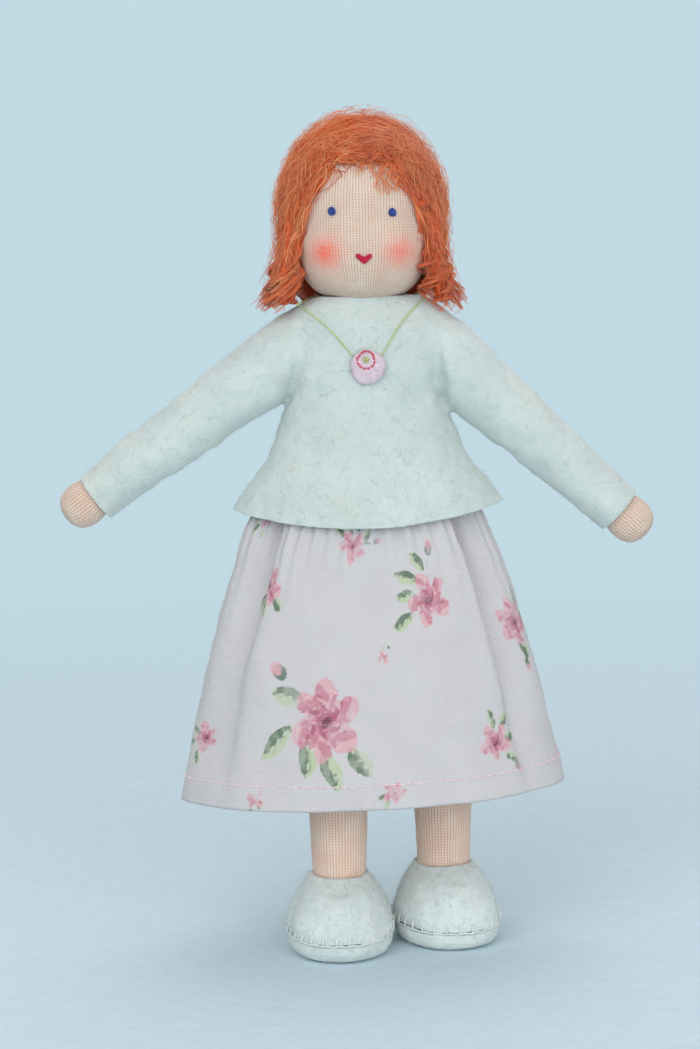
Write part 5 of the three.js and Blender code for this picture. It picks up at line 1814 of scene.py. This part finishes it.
@dataclass
class Skirt:
    """The gathered cotton skirt with its printed sprigs and its sewn hem."""

    shop: Workshop
    columns: int = 404
    rows: int = 108
    cloth_width: float = 176.0
    gathers: int = 44
    cloth: float = 0.26
    hem_tilt: float = 2.0
    hem_let_down: float = 0.5
    hem_let_out: float = 0.9
    hem_shift: float = 0.4
    back_flare: float = 3.2
    hem_band: float = 4.2
    turned_hem: float = 2.0
    deepest: float = 0.2
    left_at_hem: float = 0.12
    waist: tuple = (13.6, 9.6)
    bend_top: float = 79.0
    bend_bottom: float = 52.0
    stitch_pitch: float = 1.45
    stitch: float = 0.95
    # Each valley between folds: degrees from the front, depth, and reach in degrees to either side
    valleys: tuple = (
        (-50, 3.6, 15, 6), (50, 5.0, 5, 15), (-112, 2.1, 9, 9), (112, 2.0, 9, 9),
        (-140, 1.9, 9, 9), (140, 2.2, 9, 9), (-167, 2.1, 8, 8), (167, 2.1, 8, 8),
    )

    def __post_init__(self) -> None:
        """Reads the skirt's place from the frame."""
        low, high = box_mm("skirt")
        half_width, half_depth, _ = (high - low) / 2
        self.tilt = math.tan(math.radians(self.hem_tilt))
        self.waist_z = high[2]
        self.length = self.waist_z - low[2] + self.hem_let_down - half_width * self.tilt
        self.hem_half = np.array([half_width - 0.6 + self.hem_let_out, half_depth - 0.6])

    def outline(self, share: float, angle: Grid) -> Grid:
        """The skirt's plan at one share of its length, as offsets from the middle.

        Args:
            share: 0 at the waist to 1 at the hem.
            angle: directions round the body, the front at -90 degrees.
        Returns:
            The offsets across and in depth.
        """
        waist = np.array(self.waist)
        half_width, half_depth = waist + (self.hem_half - waist) * np.array([share**0.55, share])
        front = np.degrees(np.angle(np.exp(1j * (angle + math.pi / 2))))
        fade = np.interp(share, [0, self.deepest, 1], [0.3, 1, self.left_at_hem])
        folds = np.zeros_like(angle)
        for spot, depth, before, after in self.valleys:
            swing = math.copysign(6, spot) * share if abs(spot) < 90 else 0
            gap = np.degrees(np.angle(np.exp(1j * np.radians(front - spot - swing))))
            folds -= depth * fade * bump(gap, np.where(gap < 0, before, after))
        folds += 0.45 * share * np.cos(np.radians(front * 5 + 20)) * eased(np.abs(front), 50, 80)
        gathered = float(np.interp(share, [0, 0.06, 0.3, 0.5], [0.55, 0.6, 0.12, 0]))
        folds += gathered * np.sin(angle * self.gathers + 2 * np.sin(angle * 3))
        power = 2.0 + 0.3 * math.sin(math.pi * min(share * 1.2, 1))
        wide, deep = squared(np.cos(angle), power), squared(np.sin(angle), power)
        flare = self.back_flare * share**1.5 * (deep > 0)
        return np.stack([(half_width + folds) * wide, (half_depth + folds * 0.85 + flare) * deep], 1)

    def surface(self) -> Grid:
        """The cloth's outer face.

        Returns:
            Rings from the hem up, with columns that follow the threads.
        """
        fine = np.linspace(-math.pi / 2, 1.5 * math.pi, 2401)
        rings = []
        for share in np.linspace(1, 0, self.rows):
            plan = self.outline(share, fine)
            length = along(plan)
            x, y = between(np.arange(self.columns) / self.columns * length[-1], length, plan).T
            z = self.waist_z - share * (self.length - x * self.tilt)
            rings.append(np.stack([x + MIDDLE_X + self.hem_shift * share, y + MIDDLE_Y, z], 1))
        rings = np.array(rings)
        slow = 0.28 * ripple(rings, 13, 31) + 0.1 * ripple(rings, 5, 32)
        return rings + level_ways(rings, (MIDDLE_X, MIDDLE_Y)) * slow[..., None]

    def build(self) -> None:
        """Makes the cloth with its print, and its hem stitches."""
        rings = self.surface()
        skirt = wrapped("skirt_cotton", rings, self.cloth_width, 1.0, (False, False))
        share = np.arange(self.columns) / self.columns
        across = np.where(share > 0.5, share - 1, share) * self.cloth_width
        height = heights_up(rings)
        for name, values in Print(*np.meshgrid(across, height), self.cloth_width).inks.items():
            point_values(skirt, name, values.ravel())
        dressed(skirt, self.shop.finishes.cotton)
        wall = skirt.modifiers.new("Cloth", "SOLIDIFY")
        wall.thickness = self.cloth * MM
        wall.offset = -1
        baked(skirt)
        hem = self.hem_stitches(rings[int(np.argmin(np.abs(height - self.hem_band)))])
        bodies = ("torso", "hips")
        span = ((MIDDLE_X, MIDDLE_Y, self.bend_top), (MIDDLE_X, MIDDLE_Y, self.bend_bottom))
        settled(skirt, bodies, "cotton_print", "skirt", span=span)
        settled(hem, bodies, "white_thread", span=span)

    def hem_stitches(self, ring: Grid) -> Piece:
        """Sews a row of short running stitches.

        Args:
            ring: the row of the cloth that they follow.
        Returns:
            The stitches.
        """
        ring = np.vstack([ring, ring[:1]])
        length = along(ring)
        out = level_ways(ring, (MIDDLE_X, MIDDLE_Y))
        lift = np.array([-0.1, 0.06, 0.1, 0.1, 0.06, -0.1])
        draw = np.random.default_rng(5)
        paths = []
        for start in np.arange(0, length[-1] - self.stitch, self.stitch_pitch):
            at = start + draw.uniform(-0.06, 0.06) + np.linspace(0, self.stitch, len(lift))
            path = shifted(between(at, length, ring), (between(at, length, out), lift))
            paths.append(path + draw.uniform(-0.05, 0.05) * UP)
        return self.shop.tubes("hem_stitches", paths, 0.14, self.shop.finishes.hem_thread)


@dataclass
class Legs:
    """Knit-covered legs from the ankle up past the hip."""

    shop: Workshop
    ribs: int = 56
    stitch_length: float = 0.5
    split_z: float = 50.0
    sides: int = 64

    def build(self) -> None:
        """Makes both legs, each in two pieces that part inside the skirt."""
        for side in Side:
            hip, knee, ankle = (side.pivot(joint) for joint in ("leg_swing", "knee", "ankle"))
            line = np.array([ankle - 4.5 * UP, ankle, knee, hip, hip + 4 * UP])
            radii = np.array([
                (ankle[2] - 4.5, 4.2), (ankle[2], 4.75), (ankle[2] + 7, 5.05), (ankle[2] + 17, 5.5),
                (knee[2], 5.55), (knee[2] + 12, 6.1), (hip[2] - 4, 6.2), (hip[2] + 2, 5.6), (hip[2] + 4, 4.0),
            ])
            shin_rows = np.linspace(line[0, 2], self.split_z, 76)
            heights = np.unique(np.concatenate([shin_rows, np.linspace(self.split_z, line[-1, 2], 30)]))
            middle = between(heights, line[:, 2], line)
            radius = np.interp(heights, radii[:, 0], radii[:, 1])
            rings = np.stack([oval_ring(m, r, r, self.sides) for m, r in zip(middle, radius)])
            rings += 0.07 * (rings - middle[:, None]) / 5 * ripple(rings, 6, 41)[..., None]
            split = int(np.argmin(np.abs(heights - self.split_z)))
            thigh, shin = side.of("thigh"), side.of("shin")
            for name, part, capped, bodies, node, joint, above, below in (
                ("thigh_knit", rings[split:], (False, True), ("hips", thigh), thigh, hip, 3, 8),
                ("leg_knit", rings[: split + 1], (True, False), (thigh, shin), shin, knee, 7, 7),
            ):
                piece = wrapped(side.of(name), part, self.ribs, 1 / self.stitch_length, capped)
                # The legs wear the lighter knit, with light painted in against the skirt's shade
                dressed(piece, self.shop.finishes.leg_knit)
                span = ((joint[2] + above) * UP, (joint[2] - below) * UP)
                settled(piece, bodies, "knit_skin", node, span=span)


@dataclass
class Slipper:
    """A felt slipper: a puffed upper, a thick sole and the blanket stitch that joins them."""

    shop: Workshop
    side: Side
    turn: float
    half_width: float = 9.6
    toe: float = 13.6
    heel: float = 9.4
    sole_top: float = 3.5
    collar: float = 13.6
    sides: int = 110
    corners: float = 2.2
    stitch_pitch: float = 2.4
    stitch_rise: float = 1.7
    # At each share of the height: the shares of the width, of the toe's length and of the heel's
    shape: ClassVar[Grid] = np.array([
        (0.0, 0.81, 0.83, 0.8), (0.05, 0.93, 0.94, 0.92), (0.13, 0.985, 0.99, 0.98),
        (0.27, 1.0, 1.0, 1.0), (0.42, 0.98, 0.98, 0.985), (0.56, 0.92, 0.93, 0.94),
        (0.7, 0.82, 0.845, 0.86), (0.82, 0.72, 0.74, 0.77), (0.92, 0.625, 0.585, 0.67),
        (1.0, 0.57, 0.43, 0.58),
    ])

    def __post_init__(self) -> None:
        """Reads the slipper's place from the frame."""
        self.ankle = self.side.pivot("ankle")

    def ring(self, height: float, grow: float, sides: int) -> Grid:
        """The slipper's outline at one height.

        Args:
            height: how high above the floor.
            grow: how far it is let out or, below 0, drawn in.
            sides: points round it.
        Returns:
            The points.
        """
        share = np.clip(height / self.collar, 0, 1)
        width, toe, heel = between(share, self.shape[:, 0], self.shape[:, 1:])
        angle = angles_round(sides)
        x = (width * self.half_width + grow) * squared(np.cos(angle), self.corners)
        ahead = squared(np.sin(angle), self.corners)
        y = ahead * np.where(ahead < 0, toe * self.toe + grow, heel * self.heel + grow)
        c, s = math.cos(self.turn), math.sin(self.turn)
        at_x, at_y = self.ankle[:2]
        return np.stack([at_x + x * c - y * s, at_y + x * s + y * c, np.full(sides, height)], 1)

    def felt_form(self, name: str, rows: Sequence[tuple[float, float]], relief: Callable[[Grid], Grid],
                  density: float, length: float, seed: int) -> Piece:
        """Makes a closed felt form from outlines at rising heights.

        Args:
            name: the piece's name.
            rows: height and grow of each outline.
            relief: how far the felt stands out at each point.
            density, length, seed: the nap.
        Returns:
            The piece.
        """
        form = wrapped(self.side.of(name), np.array([self.ring(z, grow, self.sides) for z, grow in rows]))
        # The slippers wear the lighter felt, with light painted in
        return self.shop.felted(pushed(form, relief), self.shop.finishes.shoe_felt, density, length, seed)

    def sole_lumps(self, points: Grid) -> Grid:
        """Lumps that fade out towards the floor."""
        lumps = 0.12 * ripple(points, 4, 51) + 0.05 * ripple(points, 1.6, 52)
        return np.clip(points[:, 2] / 1.2, 0, 1) * lumps

    def upper_lumps(self, points: Grid) -> Grid:
        """Lumps, and the dimple along the seam."""
        dimple = 0.14 * np.exp(-((points[:, 2] - self.sole_top - 0.3) ** 2) / 0.4)
        return 0.22 * ripple(points, 6, 53) + 0.07 * ripple(points, 2, 54) - dimple

    def build(self) -> None:
        """Makes the sole, the upper and the stitches."""
        top, collar, foot = self.sole_top, self.collar, self.side.of("foot")
        rows = [(z, 0.0 if z > 0.6 else -0.1) for z in np.linspace(0.02, top - 0.5, 10)]
        rows += [(top - 0.2, -0.25), (top, -0.9)]
        sole = self.felt_form("sole_felt", rows, self.sole_lumps, 2.5, 0.9, 61)
        settled(sole, foot, "white_felt", self.side.of("shoe_sole"))
        rows = [(top - 0.1, -1.0), (top + 0.1, -0.25)]
        rows += [(z, 0.0) for z in np.linspace(top + 0.2, collar, 44)]
        rows += [(collar + 0.25, -0.35), (collar + 0.1, -0.8), (collar - 1.2, -1.1), (collar - 3.0, -1.6)]
        upper = self.felt_form("upper_felt", rows, self.upper_lumps, 2.8, 1.0, 62)
        span = (collar * UP, (2 * self.ankle[2] - collar) * UP)
        settled(upper, (self.side.of("shin"), foot), "white_felt", self.side.of("shoe_upper"), span=span)
        self.stitches()

    def stitches(self) -> None:
        """Sews the blanket stitch: a thread along the seam and one leg up from it at each stitch."""
        levels = ((0.05, 0.08), (self.stitch_rise, 0.05))
        rings = (self.ring(self.sole_top + z, grow, 240) for z, grow in levels)
        seam, upper = (np.vstack([ring, ring[:1]]) for ring in rings)
        length = along(seam)
        out = level_ways(seam, self.ankle)
        thread = shifted(seam, (out, 0.05 * np.sin(length * TAU / self.stitch_pitch)))
        thread[:, 2] += 0.14 * np.abs(np.sin(length * math.pi / self.stitch_pitch)) - 0.05
        paths = [thread]
        t = np.linspace(0, 1, 7)[:, None]
        for at in np.arange(0.6, length[-1] - 0.6, self.stitch_pitch):
            foot, head = between(at, length, seam), between(at + 0.15, length, upper)
            sunk = 0.16 * np.sin(t * math.pi) - 0.3 * (t > 0.9)
            paths.append(foot * (1 - t) + head * t + between(at, length, out) * sunk)
        radii = [0.15] + [0.14] * (len(paths) - 1)
        white = self.shop.finishes.white_thread
        stitch = self.shop.tubes(self.side.of("blanket_stitch"), paths, radii, white)
        settled(stitch, self.side.of("foot"), "white_thread", self.side.of("shoe_stitching"))


@dataclass
class Necklace:
    """A thread round the neck with a felt pendant that hangs on the chest."""

    shop: Workshop
    chest: Piece
    thread: float = 0.115
    twist: float = 0.95
    lift: float = 0.3
    pendant_shift: tuple = (-0.9, 0, 1.0)
    right_spread: float = 1.2
    bow_in: float = 0.45
    nape_y: float = 7.6
    disc_thick: float = 1.5
    ring_count: int = 13
    ring_reach: float = 1.45

    def __post_init__(self) -> None:
        """Reads the necklace's places from the frame and gets the felt ready to be touched."""
        data = self.chest.data
        corners = [vertex.co[:] for vertex in data.vertices]
        self.tree = BVHTree.FromPolygons(corners, [tuple(face.vertices) for face in data.polygons])
        self.top_z = box_mm("top_back")[1][2]
        middle, half = place_mm("pendant")
        self.middle, self.radius = middle + np.array(self.pendant_shift), half[0]
        low, high = box_mm("necklace_back")
        right = self.on_chest(low[0] + 0.3 - self.right_spread, low[2] + 0.8)
        self.starts = {Side.RIGHT: right, Side.LEFT: self.on_chest(high[0] - 0.3, low[2] + 1.4)}

    def on_chest(self, x: float, z: float) -> Grid:
        """The point of the felt in front at a place across and up."""
        hit = self.tree.ray_cast(Vector((x * MM, -0.1, z * MM)), Vector((0, 1, 0)))[0]
        y = hit[1] / MM if hit is not None else MIDDLE_Y - 8
        return np.array([x, y - self.lift, z])

    def on_top(self, x: float, y: float) -> Grid:
        """The point of the felt seen from above."""
        hit = self.tree.ray_cast(Vector((x * MM, y * MM, 0.2)), Vector((0, 0, -1)))[0]
        z = hit[2] / MM if hit is not None else self.top_z
        return np.array([x, y, max(z, self.top_z - 3) + self.lift])

    def twisted(self, name: str, points: Sequence[Grid], count: int, body: str, node: str) -> None:
        """Winds two plies round a path and hands them over.

        Args:
            name: the piece's name.
            points: places that the path passes.
            count: points along it.
            body, node: the body that it rides, and the frame node that it stands for.
        """
        path = smooth_path(points, count)
        tangent = unit(np.gradient(path, axis=0))
        side = unit(np.cross(tangent, [0, -1, 0.2]))
        up = np.cross(side, tangent)
        turn = along(path) / self.twist * TAU
        reach = self.thread * 0.5
        plies = [
            shifted(path, (side, np.cos(turn + phase) * reach), (up, np.sin(turn + phase) * reach))
            for phase in (0, math.pi)
        ]
        piece = self.shop.tubes(name, plies, self.thread * 0.6, self.shop.finishes.green_thread)
        settled(piece, body, "green_thread", node)

    def build(self) -> None:
        """Makes the threads and the pendant."""
        share = np.linspace(0, 1, 19)
        bow = self.bow_in * np.sin(share * math.pi)
        for side, start in self.starts.items():
            end_x = self.middle[0] + side.value * self.radius * 0.82
            xs = start[0] + (end_x - start[0]) * share - side.value * bow
            zs = start[2] + (self.middle[2] + self.radius * 0.58 - start[2]) * share + bow
            points = [self.on_chest(x, z) for x, z in zip(xs, zs)]
            self.twisted(side.of("necklace_thread"), points, 150, "necklace", f"necklace_{side.word}")
        self.nape()
        self.pendant()
        self.ring_and_knot()

    def nape(self) -> None:
        """Lays the thread round the nape from one shoulder to the other."""
        left, right = self.starts[Side.LEFT], self.starts[Side.RIGHT]
        angle = np.linspace(0, math.pi, 15)
        start_y = np.interp(angle, [0, math.pi], [left[1], right[1]])
        ys = start_y + (self.nape_y - start_y) * np.sin(angle)
        xs = (left[0] + right[0]) / 2 + (left[0] - right[0]) / 2 * np.cos(angle)
        spots = [self.on_top(x, y) for x, y in zip(xs, ys)]
        spots[0], spots[-1] = left, right
        # Beside its ends the thread spans the slope of the shoulder
        for end, near, after in ((0, 1, 2), (-1, -2, -3)):
            spots[near] = (spots[end] + spots[after]) / 2 + self.lift / 2 * UP
        self.twisted("necklace_nape_thread", spots, 240, "torso", "necklace_back")

    def pendant(self) -> None:
        """Makes the puffed felt disc."""
        x, _, z = self.middle
        self.surface = self.on_chest(x, z)[1] + self.lift
        angle = angles_round(64)
        wobble = 1 + 0.03 * np.sin(angle * 3 + 1) + 0.02 * np.sin(angle * 5)
        rows = []
        for turn in np.linspace(-math.pi / 2, math.pi / 2, 18):
            puff = 0.32 + 0.68 * math.cos(turn) ** 0.7 if abs(turn) < 1.5 else 0.3
            reach = self.radius * puff * wobble
            depth = np.full(len(angle), -self.disc_thick / 2 * math.sin(turn))
            rows.append(np.stack([reach * np.cos(angle), depth, reach * np.sin(angle)], 1))
        middle = np.array([x, self.surface - self.disc_thick / 2 - 0.1, z])
        disc = wrapped("pendant_felt", np.array(rows) + middle)
        self.shop.felted(disc, self.shop.finishes.pink_felt, 5.0, 0.9, 71)
        settled(disc, "necklace", "pink_felt", "pendant")

    def ring_and_knot(self) -> None:
        """Sews a ring of stitches and a knot on the disc."""
        x, _, z = self.middle
        centre = np.array([x - 0.3, self.surface - self.disc_thick - 0.12, z + self.radius * 0.43])
        depth = np.array([0.12, -0.04, -0.08, -0.08, -0.04, 0.12])
        draw = np.random.default_rng(9)
        paths = []
        for number in range(self.ring_count):
            t = number / self.ring_count * TAU + draw.uniform(-0.04, 0.04) + np.linspace(0, 0.3, len(depth))
            reach = self.ring_reach * (1 + draw.uniform(-0.08, 0.08))
            paths.append(centre + np.stack([reach * np.cos(t), depth, reach * np.sin(t)], 1))
        ring = self.shop.tubes("pendant_ring_stitches", paths, 0.16, self.shop.finishes.red_thread)
        settled(ring, "necklace", "red_thread", "pendant_ring")
        turns = np.linspace(0, 2.6 * TAU, 60)
        reach = np.linspace(0.55, 0.1, 60)
        depth = -0.05 - 0.16 * (0.6 - reach)
        coil = centre + np.stack([reach * np.cos(turns), depth, reach * np.sin(turns)], 1)
        knot = self.shop.tubes("pendant_knot_thread", [coil], 0.13, self.shop.finishes.olive_thread)
        settled(knot, "necklace", "olive_thread", "pendant_knot")


@dataclass
class Filling:
    """The wool and knit inside, seen only when the doll is opened, and the wires."""

    shop: Workshop
    voxel: float = 0.5
    ribs: int = 90
    stitch_length: float = 0.46

    def build(self) -> None:
        """Makes each inner piece from its frame node, and finishes the wires."""
        finishes = self.shop.finishes
        wool, knit = (finishes.wool, "wool"), (finishes.knit, "knit_skin")
        plan = {"torso_filling": wool, "torso_skin": knit, "hips": wool, "head_filling": wool, "neck": wool}
        for side in Side:
            plan.update({side.of(node): wool for node in ("shoulder_pad", "upper_arm", "foot")})
            plan[side.of("forearm")] = knit
        for node, (material, slot) in plan.items():
            piece = remeshed(linked(node + "_soft", frame["nodes"][node].data.copy()), self.voxel)
            pushed(piece, lambda points: 0.08 * ripple(points, 2.2, 81) - 0.12)
            self.map_round(piece)
            settled(dressed(piece, material), piece_body(node), slot, node)
        for node, holder in frame["nodes"].items():
            if node.endswith("_wire"):
                dressed(holder, finishes.wire)
        self.neck_tie()
        self.elastic()

    def map_round(self, piece: Piece) -> None:
        """Gives a piece a map that goes round it, in ribs and stitches.

        Args:
            piece: the piece, which is changed.
        """
        points = vertices_of(piece)
        off = points - (points.min(axis=0) + points.max(axis=0)) / 2
        turn = np.arctan2(off[:, 0], -off[:, 1]) / TAU
        maps = np.stack([turn * self.ribs, off[:, 2] / self.stitch_length], 1)
        corners = read_field(piece.data.loops, "vertex_index", kind=np.int32)
        layer = piece.data.uv_layers.new(name="UVMap")
        layer.data.foreach_set("uv", maps[corners].astype(np.float32).ravel())

    def neck_tie(self) -> None:
        """Winds the thread that ties the head's skin at the neck."""
        middle, half = place_mm("neck_tie")
        reach = half[0] - 0.3
        turns = np.linspace(0, 2 * TAU, 150)
        coil = np.stack([reach * np.cos(turns), reach * np.sin(turns), np.linspace(-0.22, 0.22, 150)], 1)
        tie = self.shop.tubes("neck_tie_thread", [middle + coil], 0.24, self.shop.finishes.white_thread)
        settled(tie, "neck", "white_thread", "neck_tie")

    def elastic(self) -> None:
        """Makes the skirt's elastic, five cords side by side."""
        middle, half = place_mm("waist_elastic")
        angle = np.linspace(0, TAU, 220)
        paths = []
        for rise in np.linspace(-half[2] + 0.35, half[2] - 0.35, 5):
            wave = 0.12 * np.sin(angle * 46 + rise * 3) - 0.4
            x, y = (half[0] + wave) * np.cos(angle), (half[1] + wave) * np.sin(angle)
            paths.append(middle + np.stack([x, y, np.full(len(angle), rise)], 1))
        elastic = self.shop.tubes("waist_elastic_band", paths, 0.34, self.shop.finishes.white_thread)
        settled(elastic, "torso", "white_thread", "waist_elastic")


def piece_body(node: str) -> str:
    """The body that a frame node rides on."""
    bodies = frame["record"]["behaviour"]["bodies"]
    return next(body for body, nodes in bodies.items() if node in nodes)


@dataclass
class Studio:
    """A pale floor, soft light and the photograph's camera."""

    backdrop: tuple = (193, 218, 228)
    eye: tuple = (-2.63, -480.0, 140.0)
    pitch: float = -7.52
    yaw: float = 0.16
    roll: float = -1.03
    view_angle: float = 21.97
    floor_reach: float = 4000.0
    sky: tuple = (0.97, 0.985, 1.0, 1)
    sky_strength: float = 0.55
    # Each lamp: its name, place, size and power
    lamp_plan: tuple = (
        ("Key", (-300, -680, 560), 700, 2.75),
        ("Fill", (300, -680, 190), 700, 2.5),
        ("Top", (60, 300, 640), 600, 1.0),
    )

    def build(self) -> None:
        """Makes the camera, the floor, the lamps and the world."""
        self.camera()
        self.floor()
        self.lamps()
        self.world()
        bpy.context.scene.view_settings.view_transform = "Standard"

    def camera(self) -> None:
        """Sets the camera where the photograph was taken from."""
        pitch, yaw, roll = (math.radians(value) for value in (self.pitch, self.yaw, self.roll))
        forward = Vector((math.sin(yaw) * math.cos(pitch), math.cos(yaw) * math.cos(pitch), math.sin(pitch)))
        right = Vector((math.cos(yaw), -math.sin(yaw), 0))
        up = right.cross(forward)
        across = right * math.cos(roll) + up * math.sin(roll)
        upright = -right * math.sin(roll) + up * math.cos(roll)
        data = bpy.data.cameras.new("Camera")
        data.sensor_width = 36
        data.lens = data.sensor_width / 2 / math.tan(math.radians(self.view_angle) / 2)
        data.clip_start, data.clip_end = 0.01, 20
        camera = linked("Camera", data)
        turn = Matrix((across, upright, -forward)).transposed()
        camera.matrix_world = Matrix.Translation(Vector(self.eye) * MM) @ turn.to_4x4()
        bpy.context.scene.camera = camera

    def floor(self) -> None:
        """Lays a wide floor that fades into the backdrop."""
        ends = ((-1, -1, 0), (1, -1, 0), (1, 1, 0), (-1, 1, 0))
        floor = mesh_piece("floor", np.array(ends) * self.floor_reach, [[0, 1, 2, 3]])
        dressed(floor, FloorFinish("Pale_floor", self.backdrop).build())

    def lamps(self) -> None:
        """Hangs a wide soft lamp high on the left, a weaker one on the right and one above."""
        for name, spot, size, power in self.lamp_plan:
            data = bpy.data.lights.new(name, "AREA")
            data.shape = "DISK"
            data.size = size * MM
            data.energy = power
            lamp = linked(name, data)
            lamp.location = Vector(spot) * MM
            aim = Vector((0, 0, 0.075)) - lamp.location
            lamp.rotation_euler = aim.to_track_quat("-Z", "Y").to_euler()

    def world(self) -> None:
        """Makes an even sky for light, and shows the backdrop's colour where the camera sees it."""
        world = bpy.data.worlds.new("Backdrop")
        world.use_nodes = True
        bpy.context.scene.world = world
        t = Tree(world.node_tree)
        path = t.add("ShaderNodeLightPath")
        seen = t.math("MAXIMUM", path.outputs["Is Camera Ray"], path.outputs["Is Glossy Ray"])
        light = t.add("ShaderNodeBackground", {"Color": self.sky, "Strength": self.sky_strength})
        shown = t.add("ShaderNodeBackground", {"Color": linear(*self.backdrop), "Strength": 1.0})
        both = t.add("ShaderNodeMixShader", {0: seen, 1: light.outputs[0], 2: shown.outputs[0]})
        t.add("ShaderNodeOutputWorld", {"Surface": both.outputs[0]})


def main() -> None:
    """Builds the studio and the doll, sub-assembly by sub-assembly."""
    logging.basicConfig(level=logging.INFO, format="%(name)s: %(message)s")
    Studio().build()
    shop = Workshop(Finishes(), strand_tree(), nap_tree())
    head = Head(shop)
    head.build()
    Hair(shop, head).build()
    chest = FeltTop(shop).build()
    Arms(shop).build()
    Skirt(shop).build()
    Legs(shop).build()
    for side, turn in ((Side.RIGHT, 0.0), (Side.LEFT, 13.0)):
        Slipper(shop, side, math.radians(turn)).build()
    Necklace(shop, chest).build()
    bpy.data.objects.remove(chest)
    Filling(shop).build()
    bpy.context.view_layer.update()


if __name__ == "__main__":
    main()
